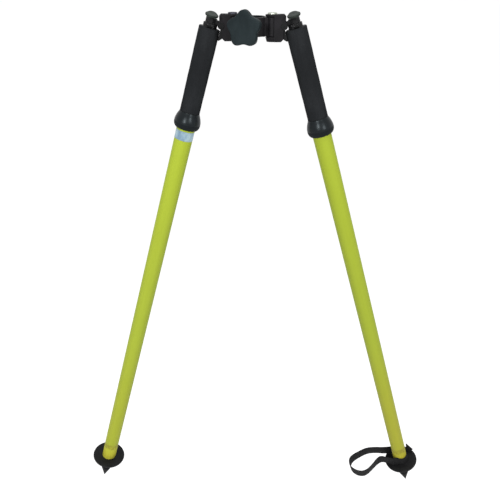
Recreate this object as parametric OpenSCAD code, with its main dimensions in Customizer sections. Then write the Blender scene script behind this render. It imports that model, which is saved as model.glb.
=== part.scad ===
// Prism pole bipod: a clamp head, two swinging yokes and two telescopic legs with thumb locks.
// The origin is on the pole's axis at the middle of the head, Z is up and the knob faces -Y.

/* [Pole clamp] */
// Diameter of the pole that the head holds
pole_d = 31.75; // [25:0.25:38]
// Height of the head casting
head_h = 28; // [26:0.5:34]
// Wall of the ring round the pole
ring_wall = 5.8; // [4.5:0.1:8]
// Thickness of the rubber liner
liner_t = 2; // [1.2:0.1:3]
// Depth of the arms that carry the eyes
arm_depth = 15; // [12:0.5:17]
// Outside diameter of the pivot eyes
eye_d = 18; // [16:0.5:22]
// Width of the clamp pad
clamp_pad_w = 20; // [16:0.5:24]
// Height of the clamp pad
clamp_pad_h = 22; // [16:0.5:23]
// Thickness of the clamp pad behind its hollow
clamp_pad_t = 5; // [4:0.25:7]
// How far the clamp pad closes from its place on the pole
pad_close = 5; // [2:0.5:8]
// How far the clamp pad opens from its place on the pole
pad_open = 3; // [1:0.5:5]
// Diameter of the clamp screw
screw_d = 8; // [6:0.5:10]
// Threaded wall of the boss in front of the pad pocket
boss_wall = 6; // [4:0.5:10]
// Side wall of the boss beside the pad pocket
boss_side = 3.2; // [2.5:0.1:5]

/* [Star knob] */
// Diameter over the lobes
knob_d = 54.5; // [46:0.5:64]
// Thickness of the lobes
knob_t = 15; // [12:0.5:20]
// Diameter of one lobe
lobe_d = 18; // [14:0.5:22]
// Number of lobes
lobes = 5; // [4:1:7]
// Depth of the hollow between two lobes
valley_depth = 1.6; // [0.8:0.1:3]
// Radius of the hollow between two lobes
valley_r = 14; // [8:0.5:20]
// Diameter of the hub behind the lobes
hub_d = 20; // [16:0.5:26]
// Length of the hub
hub_len = 2.5; // [1.5:0.25:5]
// Diameter of the brass insert
insert_d = 12; // [11:0.5:15]
// Length of the brass insert
insert_len = 12; // [8:0.5:14]

/* [Yokes] */
// Diameter of the upright pivot bolts
bolt_d = 8; // [6:0.5:10]
// Wall of the bronze bush round a pivot bolt
bush_wall = 1.5; // [1:0.1:2.5]
// Diameter of a pivot bolt's head
bolt_head_d = 15; // [11:0.5:16]
// Height of a pivot bolt's head
bolt_head_h = 2.6; // [2:0.2:5]
// Width of a pivot nut over its flats
nut_flats = 13; // [11:0.5:14]
// Height of a pivot nut
nut_h = 4.4; // [3:0.2:5]
// Outside diameter of the tabs above and below an eye
tab_d = 22; // [19:0.5:26]
// Thickness of the upper tab
upper_tab_t = 3.2; // [2.5:0.1:6]
// Thickness of the lower tab
lower_tab_t = 7; // [6:0.25:10]
// Thickness of the washers between tab and eye
washer_t = 0.8; // [0.5:0.1:1.5]
// Thickness of the block outside an eye
block_t = 2.8; // [2.2:0.1:5]
// Gap between an eye and the block that swings round it
swing_gap = 0.6; // [0.4:0.1:1.5]
// Outside diameter of the hinge ears
ear_d = 11; // [10.5:0.25:14]
// Thickness of each hinge ear
ear_t = 4.5; // [3:0.25:6]
// Thickness of the tongue between the ears
tongue_t = 12; // [8:0.5:14]
// Length of the web under the tongue, beside the grip
web_len = 23; // [16:0.5:24]
// Diameter of the hinge pins
hinge_pin_d = 7; // [5:0.25:8]
// Height of the hinge pins above the middle of the head
hinge_z = 1; // [-2:0.25:3]

/* [Legs] */
// Angle of each leg from upright
splay = 16.7; // [8:0.1:24]
// Angle between the head and the line of the legs
head_turn = 16; // [0:1:24]
// Length of a leg from hinge pin to foot plate
leg_len = 1055; // [950:5:1300]
// How far a tube slides down its rod
leg_travel = 700; // [300:10:760]
// Outside diameter of the leg tubes
tube_d = 33; // [30:0.25:36]
// Wall of the leg tubes
tube_wall = 2; // [1.2:0.1:2.5]
// Diameter of the inner rods
rod_d = 14; // [12:0.25:16]
// Wall of the inner rods
rod_wall = 2; // [1:0.1:3]
// Diameter of the foam grips
grip_d = 35.2; // [34:0.2:40]
// Length of the foam grips, the mean of the two
grip_len = 146; // [100:1:200]
// How much the right grip is longer than the mean, and the left one shorter
grip_stagger = 4; // [0:0.5:8]
// Diameter of the collars under the grips
collar_d = 47; // [40:0.5:50]
// Length of the collars
collar_len = 30; // [26:0.5:50]
// Length of the pale band on the left tube
band_len = 17; // [10:0.5:30]

/* [Leg locks] */
// Wall of the rod head round its rod
barrel_wall = 2; // [1.5:0.1:3]
// Height of the rod head above the hinge pin
barrel_top = 7; // [6.5:0.25:12]
// Thickness of the lock plates
plate_t = 2; // [1.5:0.1:2.2]
// Metal of a lock plate round its hole
plate_ring = 2.45; // [2:0.05:3]
// Tilt of a lock plate that grips
plate_tilt = 2.85; // [1:0.05:3]
// Wall of the cup that holds a lock plate
cup_wall = 1.3; // [1:0.1:2]
// Length of the spigot inside the tube
spigot_len = 30; // [22:1:50]
// Wall of the guide bush in the spigot
guide_wall = 2.5; // [1.5:0.1:3]
// Width of the thumb levers
lever_w = 6.4; // [5:0.2:8]
// Diameter of the thumb lever pins
lever_pin_d = 3.5; // [2.5:0.1:4]
// Thickness of the cheeks beside a lever
cheek_t = 3; // [2:0.1:4]
// Width of the thumb pads
thumb_w = 21; // [16:0.5:24]
// Length of the thumb pads
thumb_len = 26; // [22:0.5:34]
// Thickness of the thumb pads
thumb_t = 3.5; // [2.5:0.1:5]
// Height of the thumb pads above the hinge pin
thumb_z = 13; // [12:0.5:20]
// Tilt of the thumb pads towards the front
thumb_tilt = 13; // [0:1:20]

/* [Feet] */
// Diameter of the foot plates
plate_d = 77; // [60:1:90]
// Thickness of the foot plates
foot_t = 5; // [3:0.25:8]
// Length of the ground points under the plates
point_len = 75; // [50:1:100]
// Length of the cone at the end of a point
cone_len = 34; // [20:1:45]
// Diameter of a point under its plate
point_d = 28; // [24:0.5:32]
// Diameter of a point where its cone starts
cone_d = 24; // [18:0.5:28]
// Diameter of the stud above a point
stud_d = 12; // [8:0.5:16]
// Length of the plug inside the tube's end
plug_len = 35; // [25:1:50]

/* [Strap] */
// Width of the webbing
strap_w = 25; // [15:0.5:30]
// Thickness of the webbing
strap_t = 1.8; // [1.2:0.1:3]
// Distance from the tube to the middle of the loop
strap_reach = 95; // [75:1:100]
// Radius of the loop's round end
strap_loop_r = 27; // [20:0.5:30]
// Length of the webbing's loose tail, from the tube's axis outwards
tail_len = 30; // [20:0.5:34]

/* [Hidden] */
$fn = 64;
left = -1;
right = 1;
// A cut runs this far past the face that it opens
overrun = 1;
// Radial room of a shaft in its bore
running = 0.05;
// Room round a piece that is pressed or glued into another
snug = 0.02;
// A straight side between two round ends meets them at this share of their radius
tuck_share = 0.96;

// Pole clamp: from the pole outwards
pole_gap = 0.35;
pad_clear = 0.4;
grip_r = pole_d/2 + pole_gap;
bore_r = grip_r + liner_t;
ring_r = bore_r + ring_wall;
lip_t = 1.2;
lip_w = 2;
pad_back = grip_r + clamp_pad_t;
pocket_floor = pad_back + pad_open + pad_clear;
boss_front = pocket_floor + boss_wall;
boss_w = clamp_pad_w + 2*pad_clear + 2*boss_side;
neck_share = 0.62;
neck_d = screw_d*neck_share;
neck_depth_share = 0.5;
neck_len = clamp_pad_t*neck_depth_share;

// Star knob: from its hub forwards
knob_gap = 0.5;
hub_back = boss_front + pad_close + knob_gap;
lobe_back = hub_back + hub_len;
lobe_ring = knob_d/2 - lobe_d/2;
lobe_step = 360/lobes;
flat_r = lobe_d/2*tuck_share;
valley_at = lobe_ring*cos(lobe_step/2) + flat_r - valley_depth + valley_r;

// Yokes: from the pivot bolt outwards
eye_r = eye_d/2;
pivot_x = ring_r + eye_r;
bush_r = bolt_d/2 + bush_wall;
washer_gap = 0.1;
tab_gap = washer_t + 2*washer_gap;
upper_tab_z = head_h/2 + tab_gap;
yoke_top = upper_tab_z + upper_tab_t;
lower_tab_z = -head_h/2 - tab_gap;
yoke_bottom = lower_tab_z - lower_tab_t;
tab_taper = 2;
ear_gap = 0.3;
ear_r = ear_d/2;
ear_side = tongue_t/2 + ear_gap;
yoke_depth = 2*(ear_side + ear_t);
tongue_r = ear_r - ear_gap;
tongue_gap = 1.2;
swing_r = eye_r + swing_gap;
block_x = swing_r + block_t;
hinge_reach = block_x + tongue_gap + tongue_r;
horn_out = 2.5;
horn_x = hinge_reach + horn_out;
horn_cut = 2;
gusset_cut = 4;
// The block's side walls start here, so that the arm of the head clears them at full swing
wall_start_share = 0.25;
wall_x = eye_r*wall_start_share;
fold_gap = 0.9;
pin_rim = 1.5;
pin_head_d = hinge_pin_d + 2*pin_rim;
pin_head_h = 2;
clip_t = 1;
clip_rim = 2;
clip_d = hinge_pin_d + 2*clip_rim;
groove_share = 0.75;

// Leg locks: heights are measured from the hinge pin along the leg
rod_r = rod_d/2;
barrel_r = rod_r + barrel_wall;
barrel_below = 1;
rod_seat = 2;
stop_gap = 0.5;
cap_t = 1.5;
plate_clear = 0.35;
plate_r = rod_r + plate_clear + plate_ring;
cup_gap = 0.5;
cup_in_r = plate_r + cup_gap;
cup_r = cup_in_r + cup_wall;
spring_t = 0.6;
spring_gap = 0.3;
floor_t = 0.5;
flange_t = 2;
cap_top = -barrel_below - stop_gap;
cap_z = cap_top - cap_t;
plate_z = cap_z - spring_t - 2*spring_gap - plate_t/2;
plate_drop = 2*plate_r*sin(plate_tilt);
cup_floor = plate_z - plate_t/2 - plate_drop - spring_gap;
flange_top = cup_floor - floor_t;
tube_top = flange_top - flange_t;
spigot_end = tube_top - spigot_len;
leg_offset = cup_r + ear_r + ear_gap;
guide_r = rod_r + running + guide_wall;
guide_share = 0.6;
guide_len = spigot_len*guide_share;

// Thumb lever: Y runs from the rod's axis towards the thumb
hub_clear = 0.6;
side_gap = 0.3;
lever_hub_r = lever_pin_d;
lever_y = -(cup_r + lever_hub_r + hub_clear);
lever_rise = 0.5;
lever_z = cap_z + lever_rise;
tab_y = lever_y + lever_hub_r + hub_clear;
toe_gap = 0.3;
toe_t = 1.8;
toe_y = -(plate_r + hub_clear);
toe_z = plate_z - plate_t/2 - (plate_r - tab_y)*sin(plate_tilt) - toe_gap;
pocket_wall = 1.35;
pocket_y = -(rod_r + pocket_wall);
pocket_w = lever_w + 2*side_gap;
stem_share = 0.72;
stem_front_y = lever_y - lever_hub_r*stem_share;
stem_back_y = lever_y + lever_hub_r*stem_share;
thumb_back_share = 0.33;
thumb_back_r = thumb_w*thumb_back_share;
thumb_front_y = -thumb_len + thumb_w/2 + thumb_back_r;

// Legs: from the tube inwards
tube_r = tube_d/2;
tube_in_r = tube_r - tube_wall;
rod_spare = 30;
rod_bush_len = 25;
rod_end = spigot_end - leg_travel - rod_spare - rod_bush_len;
function collar_top(side) = flange_top - grip_len - side*grip_stagger;
grip_round = 1.5;
band_t = 0.2;
band_gap = 3;
band_top = collar_top(left) - collar_len - band_gap;
gusset_x = hinge_reach + leg_offset - grip_d/2 - fold_gap;
// The web runs between the grip and the block, which it clears when the leg is folded
web_gap = 0.35;
web_near = grip_d/2 + web_gap;
web_far = leg_offset + hinge_reach - block_x - web_gap;

// Collar outline as shares of its length and of its bulge past the grip
flare_share = 0.28;
shoulder_share = 0.68;
belly_share = 0.75;
lip_share = 0.12;
under_steps = 6;

// Feet
rim_steps = 5;
tip_r = 0.8;
stud_share = 0.7;
stud_len = foot_t + plug_len*stud_share;

// Strap
strap_gap = 0.3;
strap_rise = 0.4;
strap_in_r = tube_r + strap_gap;
// The tail lies this far off the winding
tail_lift = 0.25;

// Points on an arc of radius r about [x, y], from angle a to angle b
function arc(x, y, r, a, b, steps) =
    [for (i = [0:steps]) [x + r*cos(a + (b - a)*i/steps), y + r*sin(a + (b - a)*i/steps)]];

// Places a yoke's pieces: X runs outwards from the upright pivot bolt
module on_yoke(side) {
    translate([side*pivot_x, 0, 0])
        rotate([0, 0, head_turn])
            mirror([side == left ? 1 : 0, 0, 0])
                children();
}

// Places a leg's pieces: Z runs up the leg's axis, level with the hinge pin at zero
module on_leg(side) {
    on_yoke(side)
        translate([hinge_reach, 0, hinge_z])
            rotate([0, -splay, 0])
                translate([leg_offset, 0, 0])
                    children();
}

// A round sleeve from height low to height high
module sleeve(outer_r, inner_r, low, high) {
    translate([0, 0, low])
        difference() {
            cylinder(h = high - low, r = outer_r);
            translate([0, 0, -overrun])
                cylinder(h = high - low + 2*overrun, r = inner_r);
        }
}

// A round bar from height low to height high
module bar(r, low, high) {
    translate([0, 0, low])
        cylinder(h = high - low, r = r);
}

// A round bar along Y, from front to back
module bar_y(r, front, back) {
    translate([0, front, 0])
        rotate([-90, 0, 0])
            cylinder(h = back - front, r = r);
}

// A flat plate drawn in X and Z, centred on a plane of constant Y
module plate_xz(y, t) {
    translate([0, y + t/2, 0])
        rotate([90, 0, 0])
            linear_extrude(t)
                children();
}

// A flat plate drawn in Y and Z, centred on a plane of constant X
module plate_yz(x, t) {
    translate([x - t/2, 0, 0])
        rotate([90, 0, 90])
            linear_extrude(t)
                children();
}

module head_casting() {
    color("#26292b")
        difference() {
            union() {
                cylinder(h = head_h, r = ring_r, center = true);
                for (side = [left, right]) {
                    translate([side*pivot_x, 0, 0])
                        cylinder(h = head_h, r = eye_r, center = true);
                    translate([side*pivot_x/2, 0, 0])
                        cube([pivot_x, arm_depth, head_h], center = true);
                }
                translate([0, -boss_front/2, 0])
                    cube([boss_w, boss_front, head_h], center = true);
            }
            cylinder(h = head_h + 2*overrun, r = bore_r, center = true);
            for (side = [left, right])
                translate([side*pivot_x, 0, 0])
                    cylinder(h = head_h + 2*overrun, r = bush_r + snug, center = true);
            translate([0, -pocket_floor/2, 0])
                cube([clamp_pad_w + 2*pad_clear, pocket_floor, clamp_pad_h + 2*pad_clear], center = true);
            bar_y(screw_d/2 + running, -boss_front - overrun, 0);
        }
}

module pole_liner() {
    color("#151617")
        difference() {
            union() {
                cylinder(h = head_h + 2*lip_t, r = bore_r - snug, center = true);
                for (face = [-1, 1])
                    translate([0, 0, face*(head_h + lip_t)/2])
                        cylinder(h = lip_t - 2*snug, r = bore_r + lip_w, center = true);
            }
            cylinder(h = head_h + 2*lip_t + 2*overrun, r = grip_r, center = true);
            translate([0, -ring_r, 0])
                cube([4*ring_r, 2*ring_r, head_h + 2*lip_t + 2*overrun], center = true);
        }
}

module pivot_bushes() {
    color("#a9824a")
        for (side = [left, right])
            translate([side*pivot_x, 0, 0])
                sleeve(bush_r, bolt_d/2 + running, -head_h/2, head_h/2);
}

module clamp_pad() {
    color("#1b1c1d")
        difference() {
            translate([0, -pad_back/2, 0])
                cube([clamp_pad_w, pad_back, clamp_pad_h], center = true);
            cylinder(h = head_h, r = grip_r, center = true);
            bar_y(neck_d/2 + running, -pad_back - overrun, -pad_back + neck_len + snug);
        }
}

module clamp_screw() {
    color("silver") {
        bar_y(screw_d/2, -lobe_back - insert_len, -pad_back - snug);
        bar_y(neck_d/2, -pad_back - overrun, -pad_back + neck_len);
    }
}

// The star's outline: a polygon with round lobes at its corners and a hollow in each side
module star() {
    difference() {
        union() {
            polygon([for (i = [0:lobes - 1], turn = [-lobe_step/2, lobe_step/2])
                [lobe_ring*cos(90 + i*lobe_step) + flat_r*cos(90 + i*lobe_step + turn),
                 lobe_ring*sin(90 + i*lobe_step) + flat_r*sin(90 + i*lobe_step + turn)]]);
            for (i = [0:lobes - 1])
                rotate([0, 0, 90 + i*lobe_step])
                    translate([lobe_ring, 0, 0])
                        circle(r = lobe_d/2);
        }
        for (i = [0:lobes - 1])
            rotate([0, 0, 90 + (i + 1/2)*lobe_step])
                translate([valley_at, 0, 0])
                    circle(r = valley_r);
    }
}

module clamp_knob() {
    color("#30383a")
        difference() {
            union() {
                plate_xz(-lobe_back - knob_t/2, knob_t)
                    star();
                bar_y(hub_d/2, -lobe_back - overrun, -hub_back);
            }
            bar_y(insert_d/2 + snug, -lobe_back - insert_len - snug, -hub_back + overrun);
        }
}

module knob_insert() {
    color("#b08d3c")
        difference() {
            bar_y(insert_d/2, -lobe_back - insert_len, -hub_back);
            bar_y(screw_d/2 + snug, -lobe_back - insert_len - overrun, -hub_back + overrun);
        }
}

// One hinge ear with the gusset under it and the horn above it, in X and Z from the pivot bolt
module ear_outline() {
    translate([hinge_reach, hinge_z])
        circle(r = ear_r);
    polygon([[wall_x, yoke_bottom], [gusset_x - gusset_cut, yoke_bottom], [gusset_x, yoke_bottom + gusset_cut],
        [gusset_x, hinge_z], [horn_x, hinge_z], [horn_x, yoke_top - horn_cut], [horn_x - horn_cut, yoke_top],
        [wall_x, yoke_top]]);
}

module yoke(side) {
    color("#2a2c2e")
        on_yoke(side)
            difference() {
                union() {
                    bar(tab_d/2, upper_tab_z, yoke_top);
                    translate([0, 0, yoke_bottom])
                        cylinder(h = lower_tab_t, r1 = tab_d/2 - tab_taper, r2 = tab_d/2);
                    translate([wall_x, -yoke_depth/2, yoke_bottom])
                        cube([block_x - wall_x, yoke_depth, yoke_top - yoke_bottom]);
                    for (face = [-1, 1])
                        plate_xz(face*(ear_side + ear_t/2), ear_t)
                            ear_outline();
                }
                bar(swing_r, lower_tab_z, upper_tab_z);
                bar(bolt_d/2 + snug, yoke_bottom - overrun, yoke_top + overrun);
                bar(nut_flats/sqrt(3) + snug, yoke_bottom - overrun, yoke_bottom + nut_h + snug);
                translate([hinge_reach, 0, hinge_z])
                    bar_y(hinge_pin_d/2 + snug, -yoke_depth, yoke_depth);
            }
}

module pivot_bolt(side) {
    color("#d4d8d6")
        on_yoke(side) {
            bar(bolt_head_d/2, yoke_top + snug, yoke_top + bolt_head_h);
            bar(bolt_d/2, yoke_bottom, yoke_top + overrun);
        }
}

module pivot_nut(side) {
    color("#b9bdbd")
        on_yoke(side)
            difference() {
                translate([0, 0, yoke_bottom])
                    cylinder(h = nut_h, r = nut_flats/sqrt(3), $fn = 6);
                bar(bolt_d/2 + snug, yoke_bottom - overrun, yoke_bottom + nut_h + overrun);
            }
}

module pivot_washers(side) {
    color("#e6e2d6")
        on_yoke(side)
            for (low = [head_h/2 + washer_gap, lower_tab_z + washer_gap])
                sleeve(eye_r, bolt_d/2 + running, low, low + washer_t);
}

module hinge_pin(side) {
    color("#9a9ea0")
        on_yoke(side)
            translate([hinge_reach, 0, hinge_z])
                difference() {
                    union() {
                        bar_y(hinge_pin_d/2, -yoke_depth/2 - overrun, yoke_depth/2 + 2*clip_t);
                        bar_y(pin_head_d/2, -yoke_depth/2 - pin_head_h, -yoke_depth/2 - snug);
                    }
                    difference() {
                        bar_y(hinge_pin_d, yoke_depth/2 + snug, yoke_depth/2 + clip_t + snug);
                        bar_y(hinge_pin_d/2*groove_share, yoke_depth/2, yoke_depth/2 + 2*clip_t);
                    }
                }
}

module hinge_clip(side) {
    color("#6d7072")
        on_yoke(side)
            translate([hinge_reach, 0, hinge_z])
                difference() {
                    bar_y(clip_d/2, yoke_depth/2 + 2*snug, yoke_depth/2 + clip_t);
                    bar_y(hinge_pin_d/2*groove_share + snug, yoke_depth/2 - overrun, yoke_depth/2 + clip_t + overrun);
                    translate([-hinge_pin_d/2*groove_share, yoke_depth/2 - overrun, 0])
                        cube([hinge_pin_d*groove_share, clip_t + 2*overrun, clip_d]);
                }
}

module rod_head(side) {
    color("#3a3d3f")
        on_leg(side)
            difference() {
                union() {
                    bar(barrel_r, -barrel_below, barrel_top);
                    plate_xz(0, tongue_t)
                        union() {
                            translate([-leg_offset, 0])
                                circle(r = tongue_r);
                            translate([-leg_offset, -barrel_below])
                                square([leg_offset, barrel_below + tongue_r]);
                            polygon([[-web_near, 0], [-web_near, -web_len], [-web_far + gusset_cut, -web_len],
                                [-web_far, -web_len + gusset_cut], [-web_far, 0]]);
                        }
                }
                bar(rod_r + snug, -barrel_below - overrun, barrel_top - rod_seat);
                translate([-leg_offset, 0, 0])
                    bar_y(hinge_pin_d/2 + running, -tongue_t, tongue_t);
                translate([0, 0, (barrel_top - rod_seat)/2])
                    bar_y(rod_wall/2 + snug, -barrel_r - overrun, barrel_r + overrun);
            }
}

module inner_rod(side) {
    color("#b8bcc0")
        on_leg(side)
            difference() {
                bar(rod_r, rod_end, barrel_top - rod_seat - snug);
                bar(rod_r - rod_wall, rod_end - overrun, barrel_top);
                translate([0, 0, (barrel_top - rod_seat)/2])
                    bar_y(rod_wall/2 + snug, -barrel_r, barrel_r);
            }
}

module rod_pin(side) {
    color("#85898b")
        on_leg(side)
            translate([0, 0, (barrel_top - rod_seat)/2])
                intersection() {
                    bar_y(rod_wall/2, -barrel_r, barrel_r);
                    cylinder(h = barrel_top, r = barrel_r, center = true);
                }
}

module rod_bush(side) {
    color("#e8e6df")
        on_leg(side)
            sleeve(tube_in_r - running, rod_r + snug, rod_end, rod_end + rod_bush_len);
}

module leg_tube(side) {
    color("#c3d52e")
        on_leg(side)
            sleeve(tube_r, tube_in_r, -leg_len, tube_top);
}

// One cheek beside the thumb lever, in Y and Z
module cheek_outline() {
    translate([lever_y, lever_z])
        circle(r = lever_hub_r);
    polygon([[lever_y - lever_hub_r, lever_z], [-tube_r, flange_top], [-cup_in_r, flange_top],
        [-cup_in_r, cap_z], [lever_y, lever_z + lever_hub_r]]);
}

module lock_housing(side) {
    color("#232627")
        on_leg(side)
            difference() {
                union() {
                    bar(tube_in_r - snug, spigot_end, tube_top);
                    bar(tube_r, tube_top, flange_top);
                    bar(cup_r, flange_top - floor_t, cap_z);
                    for (face = [-1, 1])
                        plate_yz(face*(pocket_w + cheek_t)/2, cheek_t)
                            cheek_outline();
                }
                bar(cup_in_r, cup_floor, cap_z + overrun);
                bar(rod_r + plate_clear, spigot_end - overrun, cap_z);
                bar(guide_r + snug, spigot_end - overrun, spigot_end + guide_len);
                translate([-pocket_w/2, lever_y - lever_hub_r - overrun, tube_top])
                    cube([pocket_w, pocket_y - lever_y + lever_hub_r + overrun, cap_z - tube_top + overrun]);
                translate([-tube_r, lever_y, lever_z])
                    rotate([0, 90, 0])
                        cylinder(h = tube_d, r = lever_pin_d/2 + snug);
            }
}

module lock_cap(side) {
    color("#1f2122")
        on_leg(side)
            sleeve(cup_r, rod_r + plate_clear, cap_z + snug, cap_top);
}

module guide_bush(side) {
    color("#e8e6df")
        on_leg(side)
            sleeve(guide_r, rod_r + running, spigot_end, spigot_end + guide_len - snug);
}

// A flat wave spring above the lock plate
module lock_spring(side) {
    color("#9da1a4")
        on_leg(side)
            sleeve(plate_r, rod_r + plate_clear, cap_z - spring_gap - spring_t, cap_z - spring_gap);
}

// The plate tilts about its back edge: it grips the rod when its front hangs low
module lock_plate(side) {
    color("#777b7e")
        on_leg(side)
            translate([0, plate_r, plate_z])
                rotate([plate_tilt, 0, 0])
                    translate([0, -plate_r, 0])
                        difference() {
                            union() {
                                cylinder(h = plate_t, r = plate_r, center = true);
                                translate([-lever_w/2, tab_y, -plate_t/2])
                                    cube([lever_w, -tab_y, plate_t]);
                            }
                            cylinder(h = plate_t + 2*overrun, r = rod_r + plate_clear, center = true);
                        }
}

// The lever in Y and Z: hub, toe under the lock plate and stem up to the thumb pad
module lever_outline() {
    translate([lever_y, lever_z])
        circle(r = lever_hub_r);
    polygon([[lever_y - lever_hub_r*stem_share, lever_z - lever_hub_r*stem_share],
        [lever_y + lever_hub_r*stem_share, toe_z - toe_t], [toe_y, toe_z - toe_t], [toe_y, toe_z],
        [lever_y + lever_hub_r, toe_z], [lever_y + lever_hub_r*stem_share, lever_z - lever_hub_r*stem_share]]);
    polygon([[stem_front_y, lever_z], [stem_back_y, lever_z],
        [stem_back_y, thumb_z + (stem_back_y - lever_y)*tan(thumb_tilt)],
        [stem_front_y, thumb_z + (stem_front_y - lever_y)*tan(thumb_tilt)]]);
}

module thumb_lever(side) {
    color("#3c4042")
        on_leg(side)
            difference() {
                plate_yz(0, lever_w)
                    lever_outline();
                translate([-tube_r, lever_y, lever_z])
                    rotate([0, 90, 0])
                        cylinder(h = tube_d, r = lever_pin_d/2 + running);
            }
}

module thumb_pad(side) {
    // The straight sides run from the small round end to the wide one
    near = thumb_back_r*tuck_share;
    wide = thumb_w/2*tuck_share;
    lean = asin((wide - near)/-thumb_front_y);
    color("#39443e")
        on_leg(side)
            translate([0, lever_y, thumb_z])
                rotate([thumb_tilt, 0, 0])
                    translate([0, 0, snug])
                        linear_extrude(thumb_t) {
                            circle(r = thumb_back_r);
                            translate([0, thumb_front_y])
                                circle(r = thumb_w/2);
                            polygon([[near*cos(lean), near*sin(lean)],
                                [-near*cos(lean), near*sin(lean)],
                                [-wide*cos(lean), thumb_front_y + wide*sin(lean)],
                                [wide*cos(lean), thumb_front_y + wide*sin(lean)]]);
                        }
}

module lever_pin(side) {
    color("#c9cccc")
        on_leg(side)
            translate([-pocket_w/2 - cheek_t, lever_y, lever_z])
                rotate([0, 90, 0])
                    cylinder(h = pocket_w + 2*cheek_t, r = lever_pin_d/2);
}

module grip(side) {
    color("#2b2d2e")
        on_leg(side)
            rotate_extrude()
                polygon(concat(
                    [[tube_r + snug, collar_top(side) + snug], [grip_d/2, collar_top(side) + snug]],
                    arc(grip_d/2 - grip_round, flange_top - grip_round, grip_round, 0, 90, rim_steps),
                    [[tube_r + snug, flange_top]]));
}

module collar(side) {
    bulge = (collar_d - grip_d)/2;
    edge_r = grip_d/2 + bulge*lip_share;
    top = collar_top(side);
    shoulder = top - collar_len*shoulder_share;
    color("#26282a")
        on_leg(side)
            rotate_extrude()
                polygon(concat(
                    [[tube_r + snug, top], [grip_d/2, top],
                     [grip_d/2 + bulge*belly_share, top - collar_len*flare_share]],
                    [for (i = [0:under_steps])
                        [edge_r + (collar_d/2 - edge_r)*cos(90*i/under_steps),
                         shoulder - (shoulder - top + collar_len)*sin(90*i/under_steps)]],
                    [[tube_r + snug, top - collar_len]]));
}

module foot_plug(side) {
    color("#8f9396")
        on_leg(side)
            sleeve(tube_in_r - snug, stud_d/2 + snug, -leg_len, -leg_len + plug_len);
}

module foot_plate(side) {
    rim = foot_t/2;
    color("#2c2e30")
        on_leg(side)
            rotate_extrude()
                polygon(concat(
                    [[stud_d/2 + snug, -leg_len - foot_t]],
                    arc(plate_d/2 - rim, -leg_len - rim, rim, -90, 90, 2*rim_steps),
                    [[stud_d/2 + snug, -leg_len]]));
}

module foot_point(side) {
    under = -leg_len - foot_t;
    color("#3b3f40")
        on_leg(side)
            rotate_extrude()
                polygon([[0, under + stud_len], [stud_d/2, under + stud_len], [stud_d/2, under], [point_d/2, under],
                    [cone_d/2, under - point_len + cone_len], [tip_r, under - point_len], [0, under - point_len]]);
}

module label_band() {
    color("#a9c1d4")
        on_leg(left)
            sleeve(tube_r + band_t, tube_r + snug, band_top - band_len, band_top);
}

// The outline of a belt round the tube and round the loop's end, at a distance t from them
module belt(t) {
    lean = (strap_loop_r - strap_in_r)/strap_reach;
    side = sqrt(1 - lean*lean);
    near = strap_in_r + t;
    far = strap_loop_r + t;
    circle(r = near);
    translate([-strap_reach, 0])
        circle(r = far);
    polygon([[near*lean, near*side], [-strap_reach + far*lean, far*side],
        [-strap_reach + far*lean, -far*side], [near*lean, -near*side]]);
}

module carry_strap() {
    color("#1e2021")
        on_leg(right)
            translate([0, 0, -leg_len + strap_rise]) {
                linear_extrude(strap_w)
                    difference() {
                        belt(strap_t);
                        belt(0);
                    }
                translate([0, strap_in_r + tail_lift, 0])
                    cube([tail_len, strap_t, strap_w]);
            }
}

head_casting();
pole_liner();
pivot_bushes();
clamp_pad();
clamp_screw();
clamp_knob();
knob_insert();
yoke(left);  // left_yoke
pivot_bolt(left);  // left_pivot_bolt
pivot_nut(left);  // left_pivot_nut
pivot_washers(left);  // left_pivot_washers
hinge_pin(left);  // left_hinge_pin
hinge_clip(left);  // left_hinge_clip
rod_head(left);  // left_rod_head
inner_rod(left);  // left_inner_rod
rod_pin(left);  // left_rod_pin
rod_bush(left);  // left_rod_bush
leg_tube(left);  // left_leg_tube
lock_housing(left);  // left_lock_housing
lock_cap(left);  // left_lock_cap
guide_bush(left);  // left_guide_bush
lock_spring(left);  // left_lock_spring
lever_pin(left);  // left_lever_pin
grip(left);  // left_grip
collar(left);  // left_collar
foot_plug(left);  // left_foot_plug
foot_plate(left);  // left_foot_plate
foot_point(left);  // left_foot_point
lock_plate(left);  // left_lock_plate
thumb_lever(left);  // left_thumb_lever
thumb_pad(left);  // left_thumb_pad
yoke(right);  // right_yoke
pivot_bolt(right);  // right_pivot_bolt
pivot_nut(right);  // right_pivot_nut
pivot_washers(right);  // right_pivot_washers
hinge_pin(right);  // right_hinge_pin
hinge_clip(right);  // right_hinge_clip
rod_head(right);  // right_rod_head
inner_rod(right);  // right_inner_rod
rod_pin(right);  // right_rod_pin
rod_bush(right);  // right_rod_bush
leg_tube(right);  // right_leg_tube
lock_housing(right);  // right_lock_housing
lock_cap(right);  // right_lock_cap
guide_bush(right);  // right_guide_bush
lock_spring(right);  // right_lock_spring
lever_pin(right);  // right_lever_pin
grip(right);  // right_grip
collar(right);  // right_collar
foot_plug(right);  // right_foot_plug
foot_plate(right);  // right_foot_plate
foot_point(right);  // right_foot_point
lock_plate(right);  // right_lock_plate
thumb_lever(right);  // right_thumb_lever
thumb_pad(right);  // right_thumb_pad
label_band();
carry_strap();
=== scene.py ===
"""Looks of a pole bipod: a clamp head with a star knob, hinged yokes and two locking legs on points.

Sizes are millimetres in the classes below and metres in every mesh. The CAD frame carries the motion, and
each piece made here rides on the body of the node that it stands for.
"""

import logging
import math
from collections.abc import Sequence
from dataclasses import dataclass, replace
from enum import Enum
from typing import Any, Union

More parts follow.
